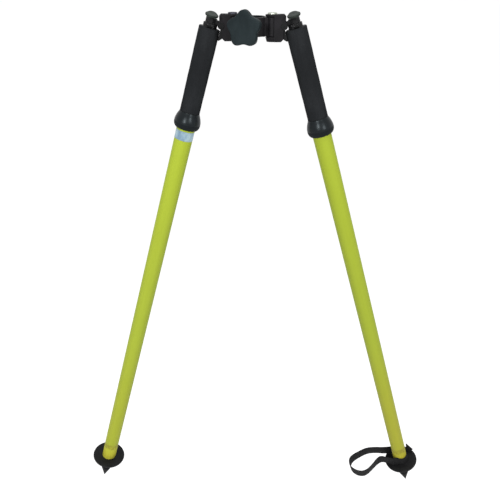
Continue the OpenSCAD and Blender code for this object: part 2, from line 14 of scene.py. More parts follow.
import bmesh
import bpy
import numpy as np
from mathutils import Matrix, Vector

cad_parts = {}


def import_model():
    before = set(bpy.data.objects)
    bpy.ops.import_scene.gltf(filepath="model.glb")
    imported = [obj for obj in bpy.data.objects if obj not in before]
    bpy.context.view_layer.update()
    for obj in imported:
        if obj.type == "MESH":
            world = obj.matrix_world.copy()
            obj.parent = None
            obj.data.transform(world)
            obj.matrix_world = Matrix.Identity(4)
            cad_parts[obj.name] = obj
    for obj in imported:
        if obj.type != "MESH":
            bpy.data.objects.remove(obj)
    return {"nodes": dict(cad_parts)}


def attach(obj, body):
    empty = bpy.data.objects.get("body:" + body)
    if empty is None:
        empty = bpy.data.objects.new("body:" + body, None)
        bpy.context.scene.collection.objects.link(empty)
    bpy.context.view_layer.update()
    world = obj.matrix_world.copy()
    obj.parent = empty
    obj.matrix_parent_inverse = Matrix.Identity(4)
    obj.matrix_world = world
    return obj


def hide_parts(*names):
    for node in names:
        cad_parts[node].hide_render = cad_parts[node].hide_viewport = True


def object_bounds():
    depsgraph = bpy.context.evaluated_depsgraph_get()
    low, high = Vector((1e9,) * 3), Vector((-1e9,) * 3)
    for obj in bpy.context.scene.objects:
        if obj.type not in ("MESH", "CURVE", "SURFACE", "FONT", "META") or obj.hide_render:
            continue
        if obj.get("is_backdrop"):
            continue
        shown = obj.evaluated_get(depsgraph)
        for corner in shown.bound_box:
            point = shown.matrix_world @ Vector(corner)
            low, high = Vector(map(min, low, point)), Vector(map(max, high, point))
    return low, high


LOG = logging.getLogger("bipod")
Array = np.ndarray
Nodes = dict[str, bpy.types.Object]
Triple = tuple[float, float, float]
Pair = tuple[float, float]
MM = 0.001
ROUND = 2 * math.pi


# Placing


class Side(Enum):
    """The two legs, by the sign of their X."""

    LEFT = -1
    RIGHT = 1

    @property
    def word(self) -> str:
        """The side's name as the nodes and bodies spell it."""
        return self.name.lower()

    def of(self, piece: str) -> str:
        """The name of this side's node or body for a piece."""
        return f"{self.word}_{piece}"


def turned(axis: str, degrees: float) -> Array:
    """The 3 by 3 matrix of a turn about one axis.

    Args:
        axis: "x", "y" or "z".
        degrees: the turn, anticlockwise as seen from the axis's far end.

    Returns:
        The matrix.
    """
    c, s = math.cos(math.radians(degrees)), math.sin(math.radians(degrees))
    fixed = "xyz".index(axis)
    a, b = (fixed + 1) % 3, (fixed + 2) % 3
    made = np.eye(3)
    made[a, a] = made[b, b] = c
    made[b, a], made[a, b] = s, -s
    return made


@dataclass(frozen=True)
class Placement:
    """Where a piece's own axes lie in the row frame: a point q of the piece is at axes @ q + origin."""

    axes: Array
    origin: Array

    def out(self, points: Array) -> Array:
        """Carries the piece's own points, in metres, into the row frame."""
        return points @ self.axes.T + self.origin

    def back(self, points: Array) -> Array:
        """Carries points of the row frame into the piece's own axes."""
        return (points - self.origin) @ self.axes

    def step(self, axes: Array, shift: Sequence[float]) -> "Placement":
        """The placement of an inner piece whose axes and shift, in millimetres, are in this one's axes."""
        return Placement(self.axes @ axes, self.out(np.array(shift, float) * MM))


ROW = Placement(np.eye(3), np.zeros(3))


@dataclass(frozen=True)
class Layout:
    """The places of the yokes and legs, as the CAD source has them."""

    head_turn: float = 16.0
    splay: float = 16.7
    pivot_x: float = 33.025
    hinge_reach: float = 18.8
    hinge_z: float = 1.0
    leg_offset: float = 17.4

    def yoke(self, side: Side) -> Placement:
        """Axes of a yoke: X runs outwards from the upright pivot bolt, and the left one is mirrored."""
        axes = turned("z", self.head_turn) @ np.diag([float(side.value), 1.0, 1.0])
        return Placement(axes, np.array([side.value * self.pivot_x, 0.0, 0.0]) * MM)

    def leg(self, side: Side) -> Placement:
        """Axes of a leg: Z runs up the tube, X outwards and Y to the back, from the hinge pin's height.

        Args:
            side: the leg's side.

        Returns:
            The leg's placement in the row frame.
        """
        tilt = turned("y", -self.splay)
        hinge = self.yoke(side).step(tilt, (self.hinge_reach, 0.0, self.hinge_z))
        return hinge.step(np.eye(3), (self.leg_offset, 0.0, 0.0))

    def grain(self, side: Side) -> Triple:
        """Euler turn that lines a pattern's Z up with a leg, without the mirror."""
        return (0.0, math.radians(-self.splay * side.value), math.radians(self.head_turn))


# Surfaces


def linked(name: str, data: Any) -> bpy.types.Object:
    """Puts a new object into the scene.

    Args:
        name: its name.
        data: its mesh, lamp or lens.

    Returns:
        The object.
    """
    made = bpy.data.objects.new(name, data)
    bpy.context.scene.collection.objects.link(made)
    return made


def pulled(items: Any, key: str, width: int, kind: type) -> Array:
    """Reads one property of all points, edges, corners or faces of a mesh.

    Args:
        items: the mesh's points, edges, corners or faces.
        key: the property.
        width: how many numbers each item has.
        kind: the numbers' type.

    Returns:
        One number, or one row of numbers, for each item.
    """
    out = np.empty(len(items) * width, kind)
    items.foreach_get(key, out)
    return out.reshape(-1, width) if width > 1 else out


def circle_of(count: int) -> tuple[Array, Array]:
    """Evenly spaced angles round a turn, and the unit circle's point at each."""
    angle = np.linspace(0, ROUND, count, endpoint=False)
    return angle, np.stack([np.cos(angle), np.sin(angle)], -1)


def distances(line: Array) -> Array:
    """The way along a line to each of its points."""
    return np.concatenate([[0], np.cumsum(np.linalg.norm(np.diff(line, axis=0), axis=1))])


def spaced(line: Array, count: int, endpoint: bool = True) -> Array:
    """Points at even steps along a line.

    Args:
        line: the line's points.
        count: how many points to lay.
        endpoint: False where the line ends on its first point.

    Returns:
        The new points.
    """
    run = distances(line)
    at = np.linspace(0, run[-1], count, endpoint=endpoint)
    return np.stack([np.interp(at, run, part) for part in line.T], -1)


def grid_faces(rows: int, columns: int, wrap_rows: bool = False) -> Array:
    """Quads of a grid whose columns close on themselves.

    Args:
        rows: rings of the grid.
        columns: points in a ring.
        wrap_rows: True where the last ring joins the first.

    Returns:
        Four point numbers for each quad.
    """
    i = np.arange(rows if wrap_rows else rows - 1)[:, None]
    j = np.arange(columns)[None, :]
    after, beside = (i + 1) % rows, (j + 1) % columns
    corners = [i * columns + j, i * columns + beside, after * columns + beside, after * columns + j]
    return np.stack(np.broadcast_arrays(*corners), -1).reshape(-1, 4)


@dataclass
class Form:
    """A closed surface in a piece's own axes, in metres: points, and arrays of faces by corner count."""

    points: Array
    faces: list[Array]
    weave: Array | None = None

    def volume(self) -> float:
        """Signed volume: a sixth of the sum of a . (b x c) over the faces' fans of triangles.

        Returns:
            The volume in cubic metres, negative where the faces look inwards.
        """
        total = 0.0
        for face in self.faces:
            a = self.points[face[:, 0]]
            for k in range(1, face.shape[1] - 1):
                b, c = self.points[face[:, k]], self.points[face[:, k + 1]]
                total += float(np.einsum("ij,ij->", a, np.cross(b, c)))
        return total / 6

    def build(self, name: str, place: Placement, crease: float = 50.0) -> bpy.types.Object:
        """Makes the mesh object with its place in its mesh and its faces outwards.

        Args:
            name: the piece's name.
            place: where the form's own axes lie.
            crease: edges sharper than this many degrees stay sharp.

        Returns:
            The object, with a "local" attribute for patterns and a "wear" attribute on its edges.
        """
        local, placed = self.points, Form(place.out(self.points), self.faces)
        faces = [f[:, ::-1] for f in self.faces] if placed.volume() < 0 else self.faces
        corners = np.concatenate([f.ravel() for f in faces]).astype(np.int32)
        sizes = np.concatenate([np.full(len(f), f.shape[1]) for f in faces])
        starts = np.concatenate([[0], np.cumsum(sizes)[:-1]]).astype(np.int32)
        mesh = bpy.data.meshes.new(name)
        mesh.vertices.add(len(local))
        mesh.vertices.foreach_set("co", placed.points.astype(np.float32).ravel())
        mesh.loops.add(len(corners))
        mesh.loops.foreach_set("vertex_index", corners)
        mesh.polygons.add(len(sizes))
        mesh.polygons.foreach_set("loop_start", starts)
        mesh.update(calc_edges=True)
        mesh.validate()
        mesh.polygons.foreach_set("use_smooth", np.ones(len(sizes), bool))
        mesh.set_sharp_from_angle(angle=math.radians(crease))
        put_attribute(mesh, "local", local)
        put_attribute(mesh, "wear", edge_wear(mesh))
        if self.weave is not None:
            put_attribute(mesh, "weave", self.weave)
        return linked(name, mesh)


def put_attribute(mesh: bpy.types.Mesh, name: str, values: Array) -> None:
    """Stores one number, or one row of three, for each point of a mesh under a name."""
    kind, key = ("FLOAT_VECTOR", "vector") if values.ndim == 2 else ("FLOAT", "value")
    mesh.attributes.new(name, kind, "POINT").data.foreach_set(key, values.astype(np.float32).ravel())


def edge_wear(mesh: bpy.types.Mesh, round_r: float = 4.0, sharp_r: float = 0.8) -> Array:
    """How much an edge stands proud at each point, from 0 on flats to 1 on convex edges.

    The bend is 2 n . (p - m) / e, with n the normal, m the mean of the neighbours and e the mean square of
    the edges' lengths. It is 0 at a radius over round_r and 1 at a radius under sharp_r.

    Args:
        mesh: the mesh.
        round_r: radius in millimetres at which wear begins.
        sharp_r: radius in millimetres at which it is full.

    Returns:
        One number for each point.
    """
    count = len(mesh.vertices)
    points = pulled(mesh.vertices, "co", 3, np.float32)
    normals = pulled(mesh.vertices, "normal", 3, np.float32)
    ends = pulled(mesh.edges, "vertices", 2, np.int32)
    pull, square = np.zeros((count, 3)), np.zeros(count)
    span = points[ends[:, 1]] - points[ends[:, 0]]
    for a, sign in ((0, 1.0), (1, -1.0)):
        np.add.at(pull, ends[:, a], sign * span)
        np.add.at(square, ends[:, a], (span**2).sum(1))
    bend = -2 * (normals * pull).sum(1) / np.maximum(square, 1e-12)
    low, high = 1 / (round_r * MM), 1 / (sharp_r * MM)
    share = np.clip((bend - low) / (high - low), 0, 1)
    return share * share * (3 - 2 * share)


def stack(rows: Sequence[tuple[Array, float]], loop: bool = False) -> Form:
    """A solid of closed outlines laid one on the other.

    Args:
        rows: each ring's points, shape (points, 2), and its height, in millimetres.
        loop: True where the rings close into a tube wall; otherwise both ends are capped.

    Returns:
        The form.
    """
    rings, count = len(rows), len(rows[0][0])
    points = np.concatenate([np.column_stack([ring, np.full(count, z)]) for ring, z in rows]) * MM
    faces = [grid_faces(rings, count, loop)]
    if not loop:
        first = np.arange(count)
        faces += [first[None, ::-1], (first + (rings - 1) * count)[None, :]]
    return Form(points, faces)


def lathe(profile: Array, segments: int = 96, loop: bool = False) -> Form:
    """A turned form: a profile (r, z) in millimetres goes round Z, so a point is (r cos a, r sin a, z)."""
    _, circle = circle_of(segments)
    return stack([(r * circle, z) for r, z in profile], loop)


def rounded(corners: Sequence[Sequence[float]], radii: Sequence[float], steps: int) -> Array:
    """A closed line of straight runs whose corners are arcs that touch both runs.

    An arc of radius r at a corner of half angle h starts r / tan h from it, or at less than half of a run,
    and its middle is on the bisector.

    Args:
        corners: the corner points.
        radii: the arc radius at each corner, 0 for a sharp one.
        steps: points less one on each arc.

    Returns:
        The line's points.
    """
    line, out = np.array(corners, float), []
    for i, (p, r) in enumerate(zip(line, radii)):
        if r <= 0:
            out.append(p[None])
            continue
        a, b = line[i - 1] - p, line[(i + 1) % len(line)] - p
        la, lb = np.linalg.norm(a), np.linalg.norm(b)
        a, b = a / la, b / lb
        half = math.acos(float(np.clip(a @ b, -0.9999, 0.9999))) / 2
        reach = min(r / math.tan(half), 0.49 * la, 0.49 * lb)
        r = reach * math.tan(half)
        middle = p + (a + b) / np.linalg.norm(a + b) * math.hypot(reach, r)
        start, end = p + a * reach - middle, p + b * reach - middle
        turn = math.atan2(start[0] * end[1] - start[1] * end[0], start @ end)
        t = np.linspace(0, turn, steps + 1)
        out.append(middle + np.cos(t)[:, None] * start + np.sin(t)[:, None] * np.array([-start[1], start[0]]))
    return np.concatenate(out)


def flowing(points: Sequence[Sequence[float]], count: int) -> Array:
    """A smooth line through points: cubic pieces whose slope at a point is half the step past it.

    Args:
        points: the points to pass through.
        count: points of the line, evenly spaced along it.

    Returns:
        The line's points.
    """
    p = np.array(points, float)
    ends = np.vstack([2 * p[0] - p[1], p, 2 * p[-1] - p[-2]])
    t = np.linspace(0, 1, 16, endpoint=False)[None, :, None]
    a, b, c, d = (ends[k : k + len(p) - 1, None] for k in range(4))
    fine = 0.5 * (2 * b + (c - a) * t + (2 * a - 5 * b + 4 * c - d) * t**2 + (3 * b - a - 3 * c + d) * t**3)
    return spaced(np.vstack([fine.reshape(-1, p.shape[1]), p[-1:]]), count)


def quarter_turn(count: int) -> list[tuple[float, float]]:
    """1 - sin a and 1 - cos a at even steps of a from 0 to a right angle."""
    return [(1 - math.sin(a), 1 - math.cos(a)) for a in np.linspace(0, math.pi / 2, count)]


def inset(outline: Array, depth: float) -> Array:
    """A closed outline moved inwards by a depth along its normals.

    Args:
        outline: its points, anticlockwise.
        depth: how far they move.

    Returns:
        The moved points.
    """
    along = np.roll(outline, -1, 0) - np.roll(outline, 1, 0)
    normal = np.stack([along[:, 1], -along[:, 0]], -1)
    return outline - depth * normal / np.linalg.norm(normal, axis=1, keepdims=True)


def pillow(outline: Array, low: float, high: float, edge: float, crown: float, dish: float = 0.0) -> Form:
    """A plate with rounded rims and a crowned top.

    A rim is a quarter circle of the edge's radius, so at angle a it is inset by edge (1 - sin a). The top
    rises by crown (1 - s^2) and sinks by dish (1 - s)^2 at the share s of the way out from the middle.

    Args:
        outline: the plate's outline, anticlockwise, in millimetres.
        low: height of the underside.
        high: height of the top's rim.
        edge: radius of the rims.
        crown: rise of the middle of the top.
        dish: hollow in the middle of the top.

    Returns:
        The form.
    """
    middle, rim = outline.mean(0), inset(outline, edge)
    rows = [(middle + s * (rim - middle), low) for s in (0.03, 0.3, 0.6, 0.85)]
    rows += [(inset(outline, edge * s), low + edge * c) for s, c in quarter_turn(6)]
    rows += [(inset(outline, edge * c), high - edge * s) for s, c in quarter_turn(6)]
    for s in (0.97, 0.92, 0.84, 0.72, 0.58, 0.42, 0.25, 0.12, 0.03):
        rows.append((middle + s * (rim - middle), high + crown * (1 - s * s) - dish * (1 - s) ** 2))
    return stack(rows)


def hull_of_rounds(near: Triple, far: Triple, count: int) -> Array:
    """The outline round two circles (x, y, r): at each normal, the circle that reaches further along it.

    Args:
        near: the first circle.
        far: the second circle.
        count: points of the outline, evenly spaced along it.

    Returns:
        The outline, anticlockwise.
    """
    _, normal = circle_of(720)
    circles = np.array([near, far])
    reach = normal @ circles[:, :2].T + circles[:, 2]
    pick = circles[reach.argmax(1)]
    fine = pick[:, :2] + pick[:, 2:] * normal
    return spaced(np.vstack([fine, fine[:1]]), count, False)


def softened(
    node: bpy.types.Object, name: str, place: Placement, voxel: float, passes: int, grow: float = 0.0
) -> bpy.types.Object:
    """A casting with broken edges: a copy of a CAD node, merged, made of even small quads and smoothed.

    Args:
        node: the CAD node's object, which isn't changed.
        name: the new piece's name.
        place: axes in which the quads lie square.
        voxel: size of the quads in millimetres.
        passes: rounds of smoothing, each of which widens the edges' rounding.
        grow: thickness of paint added all over, in millimetres.

    Returns:
        The new object.
    """
    shell = bmesh.new()
    shell.from_mesh(node.data)
    bmesh.ops.remove_doubles(shell, verts=shell.verts, dist=1e-6)
    if np.linalg.det(place.axes) < 0:
        bmesh.ops.reverse_faces(shell, faces=shell.faces)
    mesh = bpy.data.meshes.new(name + "_copy")
    shell.to_mesh(mesh)
    shell.free()
    squared = place.back(pulled(mesh.vertices, "co", 3, np.float32))
    mesh.vertices.foreach_set("co", squared.astype(np.float32).ravel())
    holder = linked(name + "_copy", mesh)
    grid = holder.modifiers.new("even quads", "REMESH")
    grid.mode, grid.voxel_size, grid.adaptivity = "VOXEL", voxel * MM, 0.0
    soft = holder.modifiers.new("broken edges", "SMOOTH")
    soft.factor, soft.iterations = 0.5, passes
    coat = holder.modifiers.new("paint", "DISPLACE")
    coat.strength, coat.mid_level = grow * MM, 0.0
    even = bpy.data.meshes.new_from_object(holder.evaluated_get(bpy.context.evaluated_depsgraph_get()))
    points = pulled(even.vertices, "co", 3, np.float32).astype(float)
    corners = pulled(even.loops, "vertex_index", 1, np.int32)
    sizes = pulled(even.polygons, "loop_total", 1, np.int32)
    starts = np.cumsum(sizes) - sizes
    faces = [corners[starts[sizes == k][:, None] + np.arange(k)] for k in np.unique(sizes)]
    bpy.data.objects.remove(holder)
    bpy.data.meshes.remove(mesh)
    bpy.data.meshes.remove(even)
    return Form(points, faces).build(name, place)


# Paint


Value = Union["Sock", float]
Rgb = Triple


def toned(colour: Rgb, factor: float) -> Rgb:
    """A colour times a factor, no brighter than white."""
    return tuple(min(1.0, factor * c) for c in colour)


class Sock:
    """A shader value that takes part in expressions: each operator adds a Math node."""

    def __init__(self, paint: "Paint", socket: bpy.types.NodeSocket) -> None:
        """Wraps an output socket of a paint's nodes."""
        self.paint, self.socket = paint, socket

    def __add__(self, other: Value) -> "Sock":
        """Sum of two values."""
        return self.paint.math("ADD", self, other)

    def __sub__(self, other: Value) -> "Sock":
        """Difference of two values."""
        return self.paint.math("SUBTRACT", self, other)

    def __mul__(self, other: Value) -> "Sock":
        """Product of two values."""
        return self.paint.math("MULTIPLY", self, other)

    def __rsub__(self, other: float) -> "Sock":
        """A number less this value."""
        return self.paint.math("SUBTRACT", other, self)

    __radd__ = __add__
    __rmul__ = __mul__

    def __abs__(self) -> "Sock":
        """Size without sign."""
        return self.paint.math("ABSOLUTE", self, 0.0)

    def sin(self) -> "Sock":
        """Sine of the value in radians."""
        return self.paint.math("SINE", self, 0.0)

    def above(self, low: float, high: float) -> "Sock":
        """0 under low and 1 over high, with a smooth step between them.

        Args:
            low: the value up to which it is 0.
            high: the value from which it is 1.

        Returns:
            The step.
        """
        settings = {"interpolation_type": "SMOOTHSTEP"}
        values = {"Value": self, "From Min": low, "From Max": high, "To Min": 0.0, "To Max": 1.0}
        return self.paint.node("ShaderNodeMapRange", settings, values)["Result"]


class Outputs:
    """A node's outputs by name, as Socks."""

    def __init__(self, paint: "Paint", node: bpy.types.Node) -> None:
        """Keeps the node."""
        self.paint, self.made = paint, node

    def __getitem__(self, key: Union[str, int]) -> Sock:
        """The output of that name or number."""
        return Sock(self.paint, self.made.outputs[key])


class Paint:
    """The nodes of one material, or of the world."""

    def __init__(self, tree: bpy.types.NodeTree) -> None:
        """Starts with an empty tree."""
        self.tree = tree
        tree.nodes.clear()

    def node(self, kind: str, settings: dict[str, Any], values: dict[Union[str, int], Any]) -> Outputs:
        """Adds a node.

        Args:
            kind: the node's type.
            settings: its properties, set first.
            values: a number, colour or Sock for each of its input sockets, by name or number.

        Returns:
            The node's outputs.
        """
        made = self.tree.nodes.new(kind)
        for key, setting in settings.items():
            setattr(made, key, setting)
        for key, value in values.items():
            if isinstance(value, Sock):
                self.tree.links.new(value.socket, made.inputs[key])
            else:
                made.inputs[key].default_value = value
        return Outputs(self, made)

    def math(self, operation: str, a: Value, b: Value) -> Sock:
        """One Math node."""
        return self.node("ShaderNodeMath", {"operation": operation}, {0: a, 1: b})["Value"]

    def mix(self, share: Value, a: Union[Sock, Rgb], b: Union[Sock, Rgb]) -> Sock:
        """A colour that goes from a to b as share goes from 0 to 1."""
        a, b = (x if isinstance(x, Sock) else (*x, 1.0) for x in (a, b))
        return self.node("ShaderNodeMix", {"data_type": "RGBA"}, {0: share, 6: a, 7: b})[2]

    def attribute(self, name: str, output: str) -> Sock:
        """One of the piece's own attributes."""
        settings = {"attribute_type": "GEOMETRY", "attribute_name": name}
        return self.node("ShaderNodeAttribute", settings, {})[output]

    def stretched(self, vector: Sock, factors: Triple) -> Sock:
        """A vector with each part times its own factor."""
        return self.node("ShaderNodeVectorMath", {"operation": "MULTIPLY"}, {0: vector, 1: factors})["Vector"]

    def noise(self, vector: Sock, scale: float, detail: float = 3.0, rough: float = 0.55) -> Sock:
        """Cloudy noise from 0 to 1."""
        values = {"Vector": vector, "Scale": scale, "Detail": detail, "Roughness": rough}
        return self.node("ShaderNodeTexNoise", {}, values)["Fac"]

    def cells(self, vector: Sock, scale: float) -> Sock:
        """Distance from the middle of the nearest of many random cells."""
        return self.node("ShaderNodeTexVoronoi", {}, {"Vector": vector, "Scale": scale})["Distance"]

    def parts(self, vector: Sock) -> tuple[Sock, Sock, Sock]:
        """X, Y and Z of a vector."""
        split = self.node("ShaderNodeSeparateXYZ", {}, {0: vector})
        return split["X"], split["Y"], split["Z"]

    def bump(self, height: Sock, strength: float, distance: float) -> Sock:
        """A normal that follows a height, with distance in metres for a height of 1."""
        values = {"Height": height, "Strength": strength, "Distance": distance}
        return self.node("ShaderNodeBump", {}, values)["Normal"]

    def tones(self, share: Value, colour: Rgb, deep: float, pale: float) -> Sock:
        """A colour that goes from deep to pale times itself as share goes from 0 to 1."""
        return self.mix(share, toned(colour, deep), toned(colour, pale))

    def shade(self, base: Sock, rough: Sock, normal: Sock, others: dict[str, Any]) -> None:
        """Ends a material with one principled shader.

        Args:
            base: the base colour.
            rough: the roughness.
            normal: the normal.
            others: constants for other inputs, by name.
        """
        varied = {"Base Color": base, "Roughness": rough, "Normal": normal}
        shader = self.node("ShaderNodeBsdfPrincipled", {}, varied | others)
        self.node("ShaderNodeOutputMaterial", {}, {"Surface": shader["BSDF"]})


class Frame(Enum):
    """What a finish's pattern follows."""

    OBJECT = "object"
    LOCAL = "local"


@dataclass(frozen=True)
class Finish:
    """A finish: its name, what its pattern follows, and a turn of the pattern on CAD nodes."""

    name: str
    follows: Frame = Frame.OBJECT
    turn: Triple = (0.0, 0.0, 0.0)

    def material(self) -> bpy.types.Material:
        """The finish's material, made once.

        Returns:
            The material, with its nodes.
        """
        name = f"look_{self.name}"
        made = bpy.data.materials.get(name)
        if made is None:
            made = bpy.data.materials.new(name)
            made.use_nodes = True
            self.paint(Paint(made.node_tree))
        return made

    def place(self, p: Paint) -> Sock:
        """The pattern's coordinates, in metres.

        Args:
            p: the material's nodes.

        Returns:
            The coordinates.
        """
        if self.follows is Frame.LOCAL:
            return p.attribute("local", "Vector")
        plain = p.node("ShaderNodeTexCoord", {}, {})["Object"]
        values = {"Vector": plain, "Rotation": self.turn}
        return p.node("ShaderNodeMapping", {"vector_type": "TEXTURE"}, values)["Vector"]

    def wear(self, p: Paint) -> Sock:
        """Edge mask, for wear and for painted edge highlights, on pieces that carry it, and none on the
        others.
        """
        return p.attribute("wear", "Fac")

    def paint(self, p: Paint) -> None:
        """Adds the finish's nodes."""
        raise NotImplementedError


@dataclass(frozen=True)
class PowderCoat(Finish):
    """Stoved powder paint on a casting: orange peel, faint mottle, scuffs, and paler edges that are partly
    rubbed and partly a painted highlight.
    """

    colour: Rgb = (0.010, 0.0092, 0.0108)
    worn: Rgb = (0.07, 0.068, 0.07)
    gloss: float = 0.46
    peel: float = 900.0
    rub: float = 0.3
    shine: float = 0.14

    def paint(self, p: Paint) -> None:
        """Mottle in the colour, paler edges that are partly wear and partly painted highlight, and peel in
        the normal.

        Args:
            p: the material's nodes.
        """
        at = self.place(p)
        cloud = p.noise(at, 60.0, 4.0)
        fine = p.noise(at, self.peel, 2.0, 0.5)
        scuff = p.noise(p.stretched(at, (1.0, 1.0, 0.35)), 420.0, 5.0, 0.7)
        base = p.tones(cloud.above(0.3, 0.7), self.colour, 0.72, 1.45)
        # Paler convex edges: partly wear, partly a painted highlight where the edges catch the light.
        edge = (self.wear(p) * 1.3 + (scuff - 0.5) * 1.1 - 0.25).above(0.1, 0.75) * self.rub
        base = p.mix(edge, base, self.worn)
        rough = self.gloss + (cloud - 0.5) * 0.14 + (scuff - 0.5) * 0.18 - edge * 0.06
        normal = p.bump(fine * 0.8 + cloud * 0.6, 0.35, 0.00012)
        p.shade(base, rough, normal, {"Specular IOR Level": self.shine})


@dataclass(frozen=True)
class TubePaint(Finish):
    """Bright coat on a drawn tube: painted light and shade by height, long streaks, a grimy seam by the end,
    nicks, and painted light on the end.
    """

    # The upper, middle and lower colours are painted light and shade: the tube's tone steps with how brightly
    # each stretch of it is lit.
    upper: Rgb = (0.474, 0.585, 0.047)
    middle: Rgb = (0.466, 0.567, 0.052)
    lower: Rgb = (0.497, 0.558, 0.05)
    # end is partly the end's own warmer tone and partly painted light: it is brighter to cancel the shade
    # that the dark foot plate throws on the tube.
    end: Rgb = (0.88, 0.825, 0.08)
    streaked: Rgb = (0.33, 0.4, 0.018)
    grimed: Rgb = (0.28, 0.2, 0.03)
    nicked: Rgb = (0.26, 0.28, 0.05)
    upper_span: Pair = (-0.55, -0.2)
    middle_span: Pair = (-0.95, -0.6)
    nick_span: Pair = (-1.04, -0.55)
    end_low: float = -1.05
    end_top: float = -1.012
    end_fade: float = 0.012
    # tone scales the whole tube's colour; below 1 it is painted shade for a leg that gets less light.
    tone: float = 1.0

    def paint(self, p: Paint) -> None:
        """Painted light and shade by height, long soft streaks along the tube, small scuffs, an even peel and
        an end brightened with painted light.

        Args:
            p: the material's nodes.
        """
        at = self.place(p)
        height = p.parts(at)[2]
        streak = p.noise(p.stretched(at, (1.0, 1.0, 0.03)), 130.0, 3.0)
        cloud = p.noise(at, 14.0, 3.0)
        peel = p.noise(at, 700.0, 2.0, 0.5)
        low = 1 - height.above(*self.nick_span)
        nick = p.noise(p.stretched(at, (1.0, 1.0, 0.5)), 260.0, 6.0, 0.75).above(0.69, 0.78)
        shades = (self.upper, self.middle, self.lower, self.end)
        upper, middle, lower, end = (toned(shade, self.tone) for shade in shades)
        # Painted light and shade by height: the colour follows how the light falls along the tube.
        base = p.mix(height.above(*self.upper_span), middle, upper)
        base = p.mix(height.above(*self.middle_span), lower, base)
        # Painted light at the lower end: a brighter colour that cancels the foot plate's shade.
        base = p.mix(1 - height.above(self.end_low, self.end_top + self.end_fade), base, end)
        seam = 1 - abs(height - self.end_top).above(0.004, 0.011)
        grime = p.noise(at, 210.0, 4.0, 0.7).above(0.4, 0.62)
        base = p.mix(streak.above(0.35, 0.75) * 0.14 + cloud.above(0.4, 0.8) * 0.08, base, self.streaked)
        base = p.mix(seam * (grime * 0.5 + 0.16), base, self.grimed)
        base = p.mix(nick * low * 0.35, base, self.nicked)
        rough = 0.5 + (streak - 0.5) * 0.1 + nick * 0.15
        normal = p.bump(peel * 0.5 + streak * 0.5, 0.3, 0.00008)
        p.shade(base, rough, normal, {"Specular IOR Level": 0.16})


@dataclass(frozen=True)
class Foam(Finish):
    """Closed cell foam sleeve: fine pores, a soft dull face and shiny rubbed patches."""

    colour: Rgb = (0.0262, 0.0284, 0.0308)
    pore: Rgb = (0.011, 0.011, 0.012)

    def paint(self, p: Paint) -> None:
        """Pores in the normal and slow patches in tone and gloss.

        Args:
            p: the material's nodes.
        """
        at = self.place(p)
        pores = p.cells(at, 1300.0)
        fine = p.noise(at, 2600.0, 2.0)
        patch = p.noise(p.stretched(at, (1.0, 1.0, 0.4)), 32.0, 3.0)
        base = p.tones(patch.above(0.3, 0.75), self.colour, 0.8, 1.3)
        base = p.mix(pores.above(0.35, 0.75) * 0.35, base, self.pore)
        rough = 0.86 - patch.above(0.5, 0.8) * 0.14
        normal = p.bump(pores * 0.7 + fine * 0.5, 0.55, 0.00022)
        p.shade(base, rough, normal, {"Specular IOR Level": 0.015})


@dataclass(frozen=True)
class SoftRubber(Finish):
    """Moulded rubber with a skin gloss, a mould haze, rubbed edges and, below a height, a matt skirt."""

    colour: Rgb = (0.0035, 0.0045, 0.0055)
    rubbed: Rgb = (0.014, 0.016, 0.018)
    gloss: float = 0.32
    shine: float = 0.25
    tint: tuple[float, float, float, float] = (0.82, 0.95, 1.0, 1.0)
    matt_below: float = -10.0
    matt_fade: float = 0.003

    def paint(self, p: Paint) -> None:
        """Haze in the gloss, faint rings from turning the mould, pale rubbed edges and a matt skirt.

        Args:
            p: the material's nodes.
        """
        at = self.place(p)
        haze = p.noise(at, 90.0, 4.0)
        height = p.parts(at)[2]
        rings = (height * 9000.0).sin()
        skirt = (height * -1.0).above(-self.matt_below, self.matt_fade - self.matt_below)
        fine = p.noise(at, 1500.0, 2.0)
        edge = (self.wear(p) + (haze - 0.5)).above(0.4, 1.1) * 0.35
        base = p.tones(haze.above(0.3, 0.75), self.colour, 0.75, 1.35)
        base = p.mix(edge, base, self.rubbed)
        rough = self.gloss + (haze - 0.5) * 0.08 + edge * 0.1 + skirt * 0.45
        normal = p.bump(fine * 0.6 + rings * 0.06, 0.08, 0.00006)
        p.shade(base, rough, normal, {"Specular IOR Level": self.shine, "Specular Tint": self.tint})


@dataclass(frozen=True)
class MouldedPlastic(Finish):
    """Filled plastic from a spark eroded mould: an even fine grain, flow tone, and paler edges that are
    partly handling wear and partly a painted highlight.
    """

    colour: Rgb = (0.0226, 0.0313, 0.0342)
    pale: Rgb = (0.034, 0.043, 0.046)
    gloss: float = 0.5
    grain: float = 1600.0
    shine: float = 0.025

    def paint(self, p: Paint) -> None:
        """Grain in the normal, slow flow marks in the tone, shinier edges, and paler edges that are partly
        wear and partly painted highlight.

        Args:
            p: the material's nodes.
        """
        at = self.place(p)
        grain = p.noise(at, self.grain, 2.0, 0.6)
        flow = p.noise(p.stretched(at, (1.0, 0.4, 1.0)), 45.0, 4.0, 0.6)
        edge = (self.wear(p) + (flow - 0.5) * 0.5).above(0.2, 0.9)
        base = p.tones(flow.above(0.3, 0.75), self.colour, 0.82, 1.22)
        # Paler edges: partly handling wear, partly a painted highlight on the rims.
        base = p.mix(edge * 0.6, base, self.pale)
        rough = self.gloss + (grain - 0.5) * 0.12 - edge * 0.14 + (flow - 0.5) * 0.1
        normal = p.bump(grain, 0.3, 0.0001)
        p.shade(base, rough, normal, {"Specular IOR Level": self.shine})


